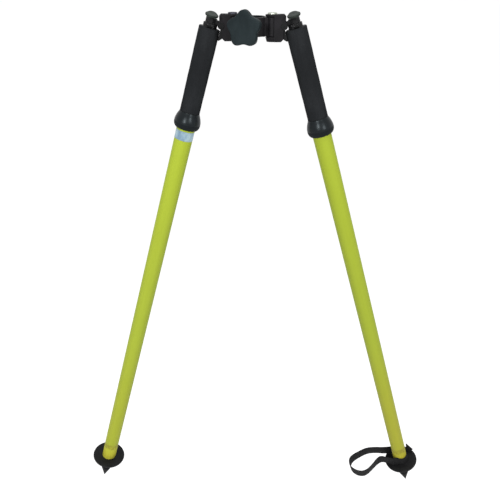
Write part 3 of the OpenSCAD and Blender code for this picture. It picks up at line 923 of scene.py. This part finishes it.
@dataclass(frozen=True)
class WorkedMetal(Finish):
    """Bare or plated metal: tool lines one way, stains and brighter edges."""

    colour: Rgb = (0.62, 0.63, 0.64)
    stain: Rgb = (0.34, 0.34, 0.35)
    gloss: float = 0.3
    lines: Triple = (1.0, 1.0, 0.06)
    bare: float = 1.0
    shine: float = 0.5

    def paint(self, p: Paint) -> None:
        """Lines drawn out along one axis in gloss and normal, and stains in the colour.

        Args:
            p: the material's nodes.
        """
        at = self.place(p)
        drawn = p.noise(p.stretched(at, self.lines), 1400.0, 3.0, 0.6)
        cloud = p.noise(at, 160.0, 5.0, 0.65)
        edge = self.wear(p)
        base = p.mix(cloud.above(0.42, 0.78) * 0.7, self.colour, self.stain)
        base = p.mix(edge * 0.5, base, toned(self.colour, 1.25))
        rough = self.gloss + (drawn - 0.5) * 0.2 + cloud.above(0.45, 0.8) * 0.2 - edge * 0.06
        normal = p.bump(drawn, 0.25, 0.00005)
        p.shade(base, rough, normal, {"Metallic": self.bare, "Specular IOR Level": self.shine})


@dataclass(frozen=True)
class Foil(Finish):
    """A plain foil band on the tube: cool sheen, cut edges, fine scratches and a slight pucker."""

    colour: Rgb = (0.23, 0.36, 0.48)
    bright: Rgb = (0.48, 0.65, 0.72)
    cut: Rgb = (0.28, 0.34, 0.38)
    scratched: Rgb = (0.25, 0.32, 0.4)
    top: float = -0.18297
    length: float = 0.017

    def paint(self, p: Paint) -> None:
        """A paler field between two darker edge lines, with patches of light and scratches.

        Args:
            p: the material's nodes.
        """
        at = self.place(p)
        down = (self.top - p.parts(at)[2]) * (1 / self.length)
        rim = 1 - (0.5 - abs(down - 0.5)).above(0.03, 0.09)
        sheen = p.noise(p.stretched(at, (1.0, 1.0, 0.5)), 75.0, 3.0)
        scratch = p.noise(p.stretched(at, (0.12, 0.12, 1.0)), 900.0, 4.0, 0.7).above(0.62, 0.72)
        base = p.mix(sheen.above(0.3, 0.7), self.colour, self.bright)
        base = p.mix(rim * 0.6, base, self.cut)
        base = p.mix(scratch * 0.3, base, self.scratched)
        rough = 0.34 + scratch * 0.2 + (sheen - 0.5) * 0.15
        normal = p.bump(sheen * 0.8 + scratch * 0.2, 0.35, 0.00015)
        p.shade(base, rough, normal, {"Metallic": 0.35})


@dataclass(frozen=True)
class Webbing(Finish):
    """Woven nylon strap: slanting ribs that meet at the middle, round selvedges and a sewn box."""

    colour: Rgb = (0.0125, 0.0125, 0.0132)
    fuzzed: Rgb = (0.045, 0.045, 0.047)
    sewing: Rgb = (0.075, 0.075, 0.08)
    rib: float = 0.0024
    half: float = 0.0125
    length: float = 0.4
    sewn: float = 0.026
    stitch: float = 0.0032

    def paint(self, p: Paint) -> None:
        """Rib height |sin(pi (v + |u|) / rib)|, yarns across it, and dashes of thread in a box at the end.

        Args:
            p: the material's nodes.
        """
        across, along, _ = p.parts(p.attribute("weave", "Vector"))
        out = abs(across)
        rib = abs(((along + out) * (math.pi / self.rib)).sin())
        yarn = abs(((along - out * 2.0) * (math.pi * 4 / self.rib)).sin())
        selvedge = out.above(self.half * 0.82, self.half * 0.92)
        border = abs((along * (math.pi * 2 / self.rib)).sin())
        weave = (rib * 0.8 + yarn * 0.3) * (1 - selvedge) + border * selvedge
        fuzz = p.noise(p.attribute("local", "Vector"), 900.0, 3.0)
        dash = (along * (ROUND / self.stitch)).sin().above(-0.2, 0.2)
        side_row = 1 - abs(out - self.half * 0.62).above(0.0003, 0.0006)
        box = along.above(self.length - self.sewn, self.length - self.sewn + 0.0004)
        thread = side_row * dash * box
        base = p.tones(weave.above(0.2, 1.0), self.colour, 0.5, 1.7)
        base = p.mix(fuzz.above(0.55, 0.8) * 0.4, base, self.fuzzed)
        base = p.mix(thread, base, self.sewing)
        rough = 0.78 - weave * 0.12 + (fuzz - 0.5) * 0.15
        normal = p.bump(weave + thread * 0.8 + fuzz * 0.25, 0.7, 0.00035)
        p.shade(base, rough, normal, {"Specular IOR Level": 0.12})


def dress(piece: bpy.types.Object, finish: Finish) -> None:
    """Puts a finish on a piece or a CAD node through its material slots.

    Args:
        piece: the piece or node.
        finish: its finish.
    """
    if not piece.material_slots:
        piece.data.materials.append(finish.material())
    for slot in piece.material_slots:
        slot.material = finish.material()


def seat(piece: bpy.types.Object, body: str, slot: str, finish: Finish, *nodes: str) -> bpy.types.Object:
    """Dresses a new piece, rides it on its body and says which nodes it stands for.

    Args:
        piece: the new piece.
        body: the CAD body that carries it.
        slot: the record's material slot; not used.
        finish: its finish.
        nodes: the CAD nodes that it stands for.

    Returns:
        The same piece.
    """
    dress(piece, finish)
    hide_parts(*nodes)
    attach(piece, body)
    LOG.info("%s: %d faces on %s for %s", piece.name, len(piece.data.polygons), body, ", ".join(nodes))
    return piece


# Sub-assemblies


@dataclass
class Assembly:
    """Pieces that are made and dressed together."""

    nodes: Nodes

    def keep(self, finish: Finish, *names: str) -> None:
        """Gives CAD nodes whose shape stays a finish.

        Args:
            finish: the finish.
            names: the nodes to dress.
        """
        for name in names:
            dress(self.nodes[name], finish)
            LOG.info("%s: CAD shape in %s", name, finish.name)


@dataclass
class SidePart(Assembly):
    """An assembly of one side, at the place that the layout gives it."""

    side: Side
    layout: Layout


@dataclass
class ClampHead(Assembly):
    """The casting that holds the pole, with its liner, pad and bushes."""

    voxel: float = 0.6
    passes: int = 5

    def build(self) -> None:
        """Makes the casting with broken edges and dresses what it holds."""
        casting = softened(self.nodes["head_casting"], "head_body", ROW, self.voxel, self.passes)
        seat(casting, "head", "head_paint", PowderCoat("head_coat", Frame.LOCAL), "head_casting")
        bronze = WorkedMetal("bush_bronze", colour=(0.5, 0.32, 0.13), stain=(0.24, 0.14, 0.06))
        self.keep(bronze, "pivot_bushes")
        self.keep(SoftRubber("liner_rubber", gloss=0.55), "pole_liner")
        self.keep(MouldedPlastic("pad_plastic", colour=(0.03, 0.03, 0.032), grain=1200.0), "clamp_pad")


@dataclass
class StarKnob(Assembly):
    """The five lobed knob on the clamp screw. Its axis is Y, towards the front."""

    lobes: int = 5
    mean_r: float = 24.53
    wave: float = 2.72
    hub_r: float = 10.0
    insert_r: float = 6.0
    hub_back: float = 36.1
    lobe_back: float = 38.625
    front: float = 53.625
    rim: float = 2.6
    back_rim: float = 1.6
    dish: float = 0.35
    count: int = 240

    def outline(self, angle: Array, depth: float) -> Array:
        """The star: r = mean + wave cos(lobes a) - depth, with one lobe up."""
        r = self.mean_r + self.wave * np.cos(self.lobes * (angle - math.pi / 2)) - depth
        return np.stack([r * np.cos(angle), r * np.sin(angle)], -1)

    def form(self) -> Form:
        """Rings from the hub's back, out round the lobes and in over the face, which has a shallow dish.

        Returns:
            The knob's form.
        """
        angle, circle = circle_of(self.count)
        hub, back, lobe, front = self.hub_r, self.hub_back, self.lobe_back, self.front
        boss = [(self.insert_r * 0.72, back), (hub - 0.8, back), (hub, back + 0.8)]
        boss += [(hub, lobe - 0.4), (hub + 0.6, lobe)]
        rows = [(r * circle, z) for r, z in boss]
        under, rim = self.back_rim, self.rim
        rows += [(self.outline(angle, under * s), lobe + under * c) for s, c in quarter_turn(8)]
        rows += [(self.outline(angle, rim * c), front - rim * s) for s, c in quarter_turn(8)]
        face, shares = self.outline(angle, rim), (0.96, 0.9, 0.82, 0.72, 0.6, 0.48)
        for s in shares:
            blend = (1 - s) / (1 - shares[-1])
            ring = s * ((1 - blend) * face + blend * self.mean_r * 0.9 * circle)
            rows.append((ring, front - self.dish * math.sin(math.pi / 2 * min(1.0, (1 - s) / 0.4)) ** 2))
        rows += [(r * circle, front - sink) for r, sink in ((9.6, 0.36), (7.0, 0.38), (3.5, 0.4), (0.4, 0.4))]
        return stack(rows)

    def build(self) -> None:
        """Makes the knob and dresses the screw and its insert."""
        facing = Placement(np.array([[1.0, 0, 0], [0, 0, -1], [0, 1, 0]]), np.zeros(3))
        knob = self.form().build("star_knob", facing)
        seat(knob, "knob", "knob_plastic", MouldedPlastic("knob_plastic", Frame.LOCAL), "clamp_knob")
        brass = WorkedMetal("insert_brass", colour=(0.6, 0.42, 0.16), stain=(0.34, 0.22, 0.08))
        self.keep(WorkedMetal("screw_zinc", lines=(1.0, 0.06, 1.0)), "clamp_screw")
        self.keep(brass, "knob_insert")


@dataclass
class Yoke(SidePart):
    """One side's swinging yoke with its pivot bolt and hinge pin."""

    voxel: float = 0.5
    passes: int = 5
    paint: float = 0.06
    bolt_r: float = 4.0
    head_r: float = 7.5
    head_low: float = 18.22
    head_top: float = 20.8
    bolt_end: float = -22.0
    socket_flat: float = 2.6
    socket_depth: float = 1.6

    def bolt(self) -> Form:
        """A round headed bolt: a turned shank and head, with a six sided socket sunk in its crown.

        Returns:
            The bolt's form.
        """
        angle, circle = circle_of(96)
        hexagon = (self.socket_flat / np.cos((angle % (math.pi / 3)) - math.pi / 6))[:, None]
        shank, end, low = self.bolt_r, self.bolt_end, self.head_low
        head, top, sunk = self.head_r, self.head_top, self.head_top - self.socket_depth
        body = [(0.3, end), (shank - 0.6, end), (shank, end + 0.6), (shank, low)]
        body += [(head - 0.3, low), (head, low + 0.3), (head, top - 0.9)]
        body += [(head - 0.25, top - 0.4), (head - 0.9, top - 0.1), (head - 1.8, top)]
        rows = [(r * circle, z) for r, z in body]
        rows += [((hexagon + 0.25) * circle, top), (hexagon * circle, top - 0.25)]
        rows += [(hexagon * circle, sunk), (0.3 * circle, sunk - 0.3)]
        return stack(rows)

    def build(self) -> None:
        """Makes the casting and the bolt, and dresses the small parts."""
        of, body, place = self.side.of, self.side.of("yoke"), self.layout.yoke(self.side)
        casting = softened(self.nodes[body], of("yoke_body"), place, self.voxel, self.passes, self.paint)
        seat(casting, body, "head_paint", PowderCoat("yoke_coat", Frame.LOCAL), body)
        pale = {"colour": (0.47, 0.5, 0.43), "stain": (0.33, 0.35, 0.3)}
        plated = WorkedMetal("bolt_zinc", Frame.LOCAL, gloss=0.36, **pale)
        # The left bolt is the same plated bolt in painted shade: a dark copy of the zinc, as it sits in shade
        # beside the knob.
        if self.side is Side.LEFT:
            painted_shade_zinc = {"colour": (0.055, 0.057, 0.072), "stain": (0.028, 0.028, 0.036)}
            plated = WorkedMetal("bolt_zinc_painted_shade", Frame.LOCAL, gloss=0.4, **painted_shade_zinc)
        bolt = self.bolt().build(of("swing_bolt"), place, 30.0)
        seat(bolt, body, "zinc", plated, of("pivot_bolt"))
        small = WorkedMetal("small_zinc", colour=(0.3, 0.31, 0.3), stain=(0.16, 0.16, 0.16), gloss=0.4)
        self.keep(small, of("pivot_nut"), of("hinge_clip"))
        self.keep(MouldedPlastic("washer_nylon", colour=(0.012, 0.012, 0.013)), of("pivot_washers"))
        black = {"colour": (0.018, 0.0185, 0.019), "stain": (0.01, 0.01, 0.011)}
        self.keep(WorkedMetal("pin_black", gloss=0.5, bare=0.1, shine=0.06, **black), of("hinge_pin"))


@dataclass
class LegLock(SidePart):
    """The head of one leg: the hinged rod, the lock that grips it, and the thumb lever."""

    passes: int = 4
    lever_y: float = -15.7
    thumb_z: float = 13.0
    thumb_tilt: float = 13.0
    back_r: float = 6.93
    wide_r: float = 10.5
    wide_y: float = -8.57
    thick: float = 3.5
    slip: float = 0.02
    rim: float = 1.2
    crown: float = 0.25
    dish: float = 0.5

    def thumb_pad(self) -> Form:
        """The thumb plate: the outline round a small and a wide circle, with round rims and a slight dish."""
        outline = hull_of_rounds((0.0, 0.0, self.back_r), (0.0, self.wide_y, self.wide_r), 160)
        return pillow(outline, self.slip, self.thick - self.crown, self.rim, self.crown, self.dish)

    def build(self) -> None:
        """Makes the rod's head, the lock's castings, the lever and its thumb plate."""
        of, leg = self.side.of, self.layout.leg(self.side)
        dark = PowderCoat("lock_coat", Frame.LOCAL, colour=(0.0105, 0.0108, 0.0115), gloss=0.5)
        for node, name, body, slot, voxel, paint in (
            ("rod_head", "hinge_head", "rod", "dark_alloy", 0.45, 0.27),
            ("lock_housing", "lock_body", "leg", "dark_alloy", 0.5, 0.0),
            ("thumb_lever", "lever_body", "lever", "lever_alloy", 0.35, 0.0),
        ):
            casting = softened(self.nodes[of(node)], of(name), leg, voxel, self.passes, paint)
            seat(casting, of(body), slot, dark, of(node))
        green = {"colour": (0.024, 0.031, 0.027), "worn": (0.1, 0.11, 0.1)}
        coat = PowderCoat("thumb_coat", Frame.LOCAL, gloss=0.45, shine=0.08, **green)
        tilted = leg.step(turned("x", self.thumb_tilt), (0.0, self.lever_y, self.thumb_z))
        plate = self.thumb_pad().build(of("thumb_plate"), tilted)
        seat(plate, of("lever"), "thumb_coat", coat, of("thumb_pad"))
        drawn = {"colour": (0.3, 0.305, 0.315), "stain": (0.17, 0.17, 0.18), "lines": (1.0, 1.0, 0.02)}
        grain = self.layout.grain(self.side)
        alloy = WorkedMetal(f"rod_alloy_{self.side.word}", turn=grain, gloss=0.34, **drawn)
        self.keep(alloy, of("inner_rod"))
        steel = WorkedMetal("lock_steel", colour=(0.4, 0.4, 0.41), gloss=0.38)
        self.keep(steel, of("lock_plate"), of("lock_spring"), of("lever_pin"), of("rod_pin"))
        self.keep(PowderCoat("cap_coat", colour=(0.016, 0.0165, 0.0175)), of("lock_cap"))
        self.keep(MouldedPlastic("bush_nylon", colour=(0.05, 0.05, 0.052)), of("guide_bush"), of("rod_bush"))


@dataclass
class Leg(SidePart):
    """One leg below its lock: tube, foam grip, rubber collar, foot plate and point."""

    slip: float = 0.02
    tube_r: float = 16.5
    tube_wall: float = 2.0
    tube_top: float = -9.97
    leg_len: float = 1055.0
    grip_r: float = 17.6
    grip_top: float = -7.97
    collar_mean: float = -153.97
    stagger: float = 4.0
    collar_len: float = 30.0
    dome_len: float = 17.0
    plate_r: float = 38.5
    plate_t: float = 5.0
    stud_r: float = 6.0
    stud_len: float = 29.5
    point_len: float = 75.0
    band_top: float = -182.97
    band_len: float = 17.0
    band_t: float = 0.2

    @property
    def collar_top(self) -> float:
        """Height of the collar's upper edge: the right grip is the longer one."""
        return self.collar_mean - self.side.value * self.stagger

    def tube(self) -> Form:
        """A drawn tube wall with broken ends, ringed every few centimetres so that its pattern stays true.

        Returns:
            The tube's form.
        """
        r, inner, top, low = self.tube_r, self.tube_r - self.tube_wall, self.tube_top, -self.leg_len
        cut, bore_cut, rings = 0.4, 0.3, 30
        outside = np.stack([np.full(rings, r), np.linspace(top - cut, low + cut, rings)], -1)
        ends = [[r - cut, low], [inner + bore_cut, low], [inner, low + bore_cut]]
        back = [[inner, top - bore_cut], [inner + bore_cut, top], [r - cut, top]]
        return lathe(np.vstack([outside, ends, back]), 96, True)

    def grip(self) -> Form:
        """A foam sleeve with rolled ends: r follows the sleeve with a slow swell of a tenth of a millimetre.

        Returns:
            The grip's form.
        """
        r, top, foot, inner = self.grip_r, self.grip_top, self.collar_top, self.tube_r + self.slip
        shoulder, roll_r, lip = top - 1.8, 1.6, foot + 0.2
        z = np.linspace(shoulder, foot + 0.6, 60)
        swell = 0.07 * np.sin(z / 9.0) + 0.05 * np.sin(z / 3.7 + 1.0)
        outside = np.stack([r - 0.05 + swell, z], -1)
        roll = np.linspace(0.15, math.pi / 2, 6)
        rim = np.stack([r - roll_r * (1 - np.cos(roll)), shoulder + roll_r * np.sin(roll)], -1)[::-1]
        wall = [[r - 0.3, lip], [inner, lip], [inner, top - 0.4], [inner + 0.1, top - 0.25]]
        return lathe(np.vstack([rim, outside, wall]), 96, True)

    def collar(self) -> Form:
        """A bell of rubber: a smooth line from its neck over the belly to the turned in lower edge.

        Returns:
            The collar's form.
        """
        line = [(17.65, 0.0), (18.0, -1.0), (18.9, -3.0), (20.2, -5.8), (21.5, -9.2), (22.55, -12.6)]
        line += [(23.3, -16.0), (23.48, -18.8), (23.45, -21.0), (23.1, -23.4), (22.2, -25.9)]
        line += [(20.9, -28.0), (19.2, -29.5), (17.5, -30.0)]
        outside = flowing(line, 64) + np.array([0.0, self.collar_top])
        low, bore_r = self.collar_top - self.collar_len, self.tube_r + self.slip
        bore = [[bore_r + 0.33, low], [bore_r, low + 0.4], [bore_r, self.collar_top]]
        return lathe(np.vstack([outside, bore]), 112, True)

    def foot_plate(self) -> Form:
        """A dished plate: flat under, a rounded rim, and a low step up to the seat of the tube.

        Returns:
            The plate's form.
        """
        top, low, bore_r = -self.leg_len, -self.leg_len - self.plate_t, self.stud_r + self.slip
        corners = [(bore_r, low), (self.plate_r, low), (self.plate_r, top - 0.5), (27.0, top), (bore_r, top)]
        return lathe(rounded(corners, (0.0, 2.2, 1.9, 12.0, 0.0), 10), 144, True)

    def foot_point(self) -> Form:
        """A turned point: a stud, a shoulder under the plate, a short barrel and flanks hollowed to the tip.

        Returns:
            The point's form.
        """
        under, tip = -self.leg_len - self.plate_t, (0.3, -self.leg_len - self.plate_t - self.point_len)
        stud_top = under + self.stud_len
        stud = [(0.3, stud_top), (self.stud_r, stud_top - 0.5), (self.stud_r, under), (13.4, under)]
        line = [(14.0, -0.7), (13.7, -12.0), (13.0, -26.0), (12.0, -41.0), (8.9, -51.0)]
        line += [(5.2, -61.5), (2.1, -70.5), (0.75, -74.7)]
        flank = flowing(line, 40) + np.array([0.0, under])
        return lathe(np.vstack([stud, flank, [tip]]), 96)

    def band(self) -> Form:
        """A thin foil sleeve on the tube with a lapped seam: r rises by a step at the overlap.

        Returns:
            The band's form.
        """
        angle, circle = circle_of(128)
        seam, lap_half, lap_rise, cut = 1.9, 0.16, 0.08, 0.1
        lap = np.where(np.abs(angle - seam) < lap_half, lap_rise, 0.0)[:, None]
        inner, outer = (self.tube_r + self.slip) * circle, (self.tube_r + self.band_t + lap) * circle
        low = self.band_top - self.band_len
        z = np.linspace(low + cut, self.band_top - cut, 8)
        return stack([(inner, low), *((outer, height) for height in z), (inner, self.band_top)], True)

    def build(self) -> None:
        """Makes and dresses the leg's pieces."""
        of, place, body = self.side.of, self.layout.leg(self.side), self.side.of("leg")
        yellow = TubePaint(of("tube_yellow"), Frame.LOCAL)
        # The right tube is a shaded copy of the same paint: tone 0.92 is painted shade, and its lower and end
        # colours carry more painted shade near the foot.
        if self.side is Side.RIGHT:
            yellow = replace(yellow, tone=0.92, lower=(0.532, 0.54, 0.054), end=(0.74, 0.62, 0.055))
        seat(self.tube().build(of("tube"), place), body, "leg_yellow", yellow, of("leg_tube"))
        foam = Foam("grip_foam", Frame.LOCAL)
        grip = seat(self.grip().build(of("foam_grip"), place), body, "grip_foam", foam, of("grip"))
        skin = SoftRubber(of("collar_rubber"), Frame.LOCAL, matt_below=(self.collar_top - self.dome_len) * MM)
        seat(self.collar().build(of("rubber_collar"), place), body, "collar_rubber", skin, of("collar"))
        black = {"colour": (0.0095, 0.0096, 0.0104), "worn": (0.09, 0.09, 0.093)}
        coat = PowderCoat("foot_coat", Frame.LOCAL, gloss=0.55, rub=0.45, **black)
        seat(self.foot_plate().build(of("tread_plate"), place), body, "foot_paint", coat, of("foot_plate"))
        dark = {"colour": (0.011, 0.0115, 0.0125), "stain": (0.007, 0.007, 0.0075)}
        steel = WorkedMetal("point_steel", Frame.LOCAL, gloss=0.5, bare=0.0, shine=0.03, **dark)
        seat(self.foot_point().build(of("ground_point"), place), body, "point_steel", steel, of("foot_point"))
        self.keep(MouldedPlastic("plug_nylon", colour=(0.04, 0.04, 0.042)), of("foot_plug"))
        if self.side is Side.LEFT:
            foil = Foil("band_foil", Frame.LOCAL, top=self.band_top * MM, length=self.band_len * MM)
            seat(self.band().build("foil_band", place), body, "label_foil", foil, "label_band")


@dataclass
class CarryStrap:
    """The webbing loop on the right leg: round the foot of the tube, out to a loose loop and back.

    The route gives X and Y of its middle line in the leg's axes. Each lean has its degrees, the share of the
    way at which it is largest, and its spread.
    """

    layout: Layout
    width: float = 25.0
    thick: float = 1.7
    middle_z: float = -1042.1
    wrap_r: float = 17.68
    route: tuple[Pair, ...] = (
        (36.0, 17.2), (28.0, 17.7), (20.0, 18.3), (10.0, 18.75), (0.0, 19.0), (-9.0, 19.3),
        (-18.9, 20.4), (-37.3, 23.9), (-50.1, 28.0), (-63.3, 31.4), (-76.9, 33.0), (-92.0, 30.6),
        (-108.5, 25.2), (-120.5, 18.0), (-126.0, 9.2), (-127.0, -0.8), (-125.5, -7.2), (-121.8, -14.2),
        (-113.5, -22.4), (-101.5, -27.4), (-89.8, -26.6), (-79.8, -21.2), (-70.5, -14.4), (-60.4, -6.6),
        (-51.0, -1.6), (-43.1, -2.2), (-35.6, -6.6), (-28.0, -11.4), (-19.0, -15.4),
    )
    leans: tuple[Triple, ...] = ((12.0, 0.63, 0.09), (-5.0, 0.3, 0.1))
    ripple: float = 0.25
    ripples: float = 19.0
    droop: float = 3.5
    hang_x: float = -40.0
    hang_len: float = 60.0
    section: int = 28
    count: int = 420

    def path(self) -> Array:
        """The strap's middle line in the leg's axes: the photographed route, then half round the tube.

        Returns:
            Its points, in millimetres.
        """
        angle = np.radians([-118.0, -100.0, -80.0, -55.0, -30.0, -5.0, 20.0, 45.0, 65.0, 85.0])
        wrap = np.stack([self.wrap_r * np.cos(angle), self.wrap_r * np.sin(angle)], -1)
        return flowing(np.vstack([self.route, wrap]), self.count)

    def edges(self, run: Array) -> tuple[Array, Array]:
        """Heights of the ribbon's two edges from its middle line, in millimetres.

        The loose tail is folded in half beside the tube, and its end is cut on a slant to one high corner.
        The other end is gathered where it goes round the tube.

        Args:
            run: distance along the strap from the tail's end, in millimetres.

        Returns:
            The upper and the lower edge at each distance.
        """
        half = self.width / 2
        end = run[-1]
        marks = [0.0, 13.5, 15.2, 21.0, 26.0, end - 66.0, end - 48.0]
        top = np.interp(run, marks, [-9.5, 16.0, -1.0, -1.0, half, half, half - 6.0])
        return top, np.interp(run, [0.0, 3.0], [-10.5, -half])

    def form(self, line: Array) -> Form:
        """A ribbon along the line, on its edge.

        At the share s of the way the width runs along w = cos(l) z + sin(l) (t x z), with t the line's own
        direction and l a lean that is largest on the near side of the loop. Its section is a flat oval:
        half width times sgn(c) |c|^0.25 and half thickness times sgn(s) |s|^0.5 round a turn.

        Args:
            line: the middle line, in millimetres.

        Returns:
            The form, with (across, along, side) in metres as its weave.
        """
        run = distances(line)
        ahead = np.gradient(line, axis=0)
        ahead /= np.linalg.norm(ahead, axis=1, keepdims=True)
        t = np.column_stack([ahead, np.zeros(len(line))])
        s = run / run[-1]
        lean = sum(np.radians(most) * np.exp(-(((s - at) / spread) ** 2)) for most, at, spread in self.leans)
        up = np.array([0.0, 0.0, 1.0])
        flat = np.cross(t, up)
        w = np.cos(lean)[:, None] * up + np.sin(lean)[:, None] * flat
        n = np.cross(w, t)
        c, d = circle_of(self.section)[1].T
        top, low = self.edges(run)
        across = ((top + low) / 2)[:, None] + ((top - low) / 2)[:, None] * (np.sign(c) * np.abs(c) ** 0.25)
        rise = self.thick / 2 * np.sign(d) * np.abs(d) ** 0.5
        hang = np.clip((self.hang_x - line[:, 0]) / self.hang_len, 0, 1) ** 2
        height = self.middle_z + self.ripple * np.sin(s * self.ripples) - self.droop * hang
        spine = np.column_stack([line, height])
        points = spine[:, None] + across[..., None] * w[:, None] + rise[None, :, None] * n[:, None]
        weave = np.stack(np.broadcast_arrays(across * MM, run[:, None] * MM, np.sign(rise)[None]), -1)
        first = np.arange(self.section)[None]
        caps = [first[:, ::-1], first + (len(line) - 1) * self.section]
        faces = [grid_faces(len(line), self.section), *caps]
        return Form(points.reshape(-1, 3) * MM, faces, weave.reshape(-1, 3))

    def build(self) -> None:
        line = self.path()
        length = float(distances(line)[-1]) * MM
        strap = self.form(line).build("webbing_strap", self.layout.leg(Side.RIGHT), 60.0)
        seat(strap, "right_leg", "webbing", Webbing("strap_webbing", length=length), "carry_strap")
        LOG.info("webbing_strap: cut to %.3f by %.3f m", self.width * MM, length)


# Studio


def posed(axes: Array, place: Array) -> Matrix:
    """The 4 by 4 matrix of three axes, as columns, and a place.

    Args:
        axes: the turn, 3 by 3.
        place: the place, in metres.

    Returns:
        The matrix, as Blender takes it.
    """
    pose = np.eye(4)
    pose[:3, :3], pose[:3, 3] = axes, place
    return Matrix(pose.tolist())


@dataclass(frozen=True)
class SoftBox:
    """A lamp: its place before the head's turn, its width and height in metres, and its power in watts."""

    name: str
    at: Triple
    size: Pair
    power: float


@dataclass
class Studio:
    """Camera at the photograph's angle, pale floor and soft light.

    The camera's yaw, tip and roll are degrees before the head's turn, with the tip up from straight down.
    """

    eye: Triple = (-0.004355, -0.894289, 0.071979)
    yaw: float = 0.1244
    tip: float = 61.7242
    roll: float = -0.3957
    sensor: float = 36.0
    lens_share: float = 510 / 500
    turn: float = Layout.head_turn
    ambient: float = 0.44
    glow: float = 0.74
    reach: float = 0.72
    floor_half: float = 60.0
    floor_tones: tuple[Rgb, Rgb] = ((0.6, 0.6, 0.6), (0.64, 0.64, 0.64))
    aim: Triple = (0.0, 0.0, -0.3)
    boxes: tuple[SoftBox, ...] = (
        SoftBox("top_box", (0.0, -0.3, 2.2), (2.4, 2.0), 24.0),
        SoftBox("left_box", (-0.82, -2.1, 0.55), (0.4, 0.46), 22.5),
        SoftBox("right_box", (1.08, -2.0, 0.55), (0.32, 0.5), 16.0),
    )

    def camera(self) -> None:
        """The camera: rolled about its view, tipped, and turned by its yaw and then by the head's turn."""
        spin = turned("z", self.turn)
        lens = bpy.data.cameras.new("camera")
        lens.sensor_width, lens.lens = self.sensor, self.sensor * self.lens_share
        seen = linked("camera", lens)
        axes = turned("z", self.yaw) @ turned("x", self.tip) @ turned("z", self.roll)
        seen.matrix_world = posed(spin @ axes, spin @ np.array(self.eye))
        bpy.context.scene.camera = seen

    def plain_rays(self, p: Paint) -> Sock:
        """1 for rays from the camera, a gloss or a clear surface, and 0 for the rest.

        Args:
            p: the nodes of the floor or the surround.

        Returns:
            The value.
        """
        rays = p.node("ShaderNodeLightPath", {}, {})
        seen = p.math("MAXIMUM", rays["Is Camera Ray"], rays["Is Glossy Ray"])
        return p.math("MAXIMUM", seen, rays["Is Transmission Ray"])

    def world(self) -> None:
        """A white surround that lights the object a little less than it shows."""
        world = bpy.data.worlds.new("surround")
        world.use_nodes = True
        bpy.context.scene.world = world
        p = Paint(world.node_tree)
        strength = self.plain_rays(p) * (1 - self.ambient) + self.ambient
        back = p.node("ShaderNodeBackground", {}, {"Color": (1.0, 1.0, 1.0, 1.0), "Strength": strength})
        p.node("ShaderNodeOutputWorld", {}, {"Surface": back["Background"]})

    def floor(self, level: float) -> None:
        """A wide pale floor that keeps the object's shadow.

        Args:
            level: its height in metres.
        """
        half = self.floor_half
        mesh = bpy.data.meshes.new("floor")
        corners = [(-half, -half, level), (half, -half, level), (half, half, level), (-half, half, level)]
        mesh.from_pydata(corners, [], [(0, 1, 2, 3)])
        pale = bpy.data.materials.new("floor_pale")
        pale.use_nodes = True
        p = Paint(pale.node_tree)
        tone = p.noise(p.node("ShaderNodeTexCoord", {}, {})["Object"], 3.0, 2.0)
        matt = p.node("ShaderNodeBsdfDiffuse", {}, {"Color": p.mix(tone, *self.floor_tones)})
        white = {"Color": (1.0, 1.0, 1.0, 1.0), "Strength": self.plain_rays(p) * self.glow}
        glow = p.node("ShaderNodeEmission", {}, white)
        both = p.node("ShaderNodeAddShader", {}, {0: matt["BSDF"], 1: glow["Emission"]})
        p.node("ShaderNodeOutputMaterial", {}, {"Surface": both["Shader"]})
        mesh.materials.append(pale)
        floor = linked("floor", mesh)
        floor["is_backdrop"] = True

    def lamp(self, box: SoftBox) -> None:
        """Hangs one soft box, which faces the aim.

        Args:
            box: the soft box.
        """
        light = bpy.data.lights.new(box.name, "AREA")
        light.shape, light.energy = "RECTANGLE", box.power
        light.size, light.size_y = box.size
        spin = turned("z", self.turn)
        place, target = spin @ np.array(box.at), spin @ np.array(self.aim)
        z = (place - target) / np.linalg.norm(place - target)
        x = np.cross([0.0, 0.0, 1.0], z)
        x /= np.linalg.norm(x)
        linked(box.name, light).matrix_world = posed(np.column_stack([x, np.cross(z, x), z]), place)

    def build(self, level: float) -> None:
        """Sets up camera, surround, floor and lamps.

        Args:
            level: height of the points in metres. The floor lies lower by a leg's reach, to clear every pose.
        """
        bpy.context.scene.view_settings.view_transform = "Standard"
        self.camera()
        self.world()
        self.floor(level - self.reach)
        for box in self.boxes:
            self.lamp(box)


def main() -> None:
    """Builds the bipod's looks piece by piece."""
    logging.basicConfig(level=logging.INFO, format="%(name)s: %(message)s")
    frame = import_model()
    nodes: Nodes = frame["nodes"]
    cad_low, cad_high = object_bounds()
    layout = Layout()
    Studio().build(float(cad_low[2]))
    CarryStrap(layout).build()
    ClampHead(nodes).build()
    StarKnob(nodes).build()
    for side in Side:
        Yoke(nodes, side, layout).build()
        LegLock(nodes, side, layout).build()
        Leg(nodes, side, layout).build()


if __name__ == "__main__":
    main()
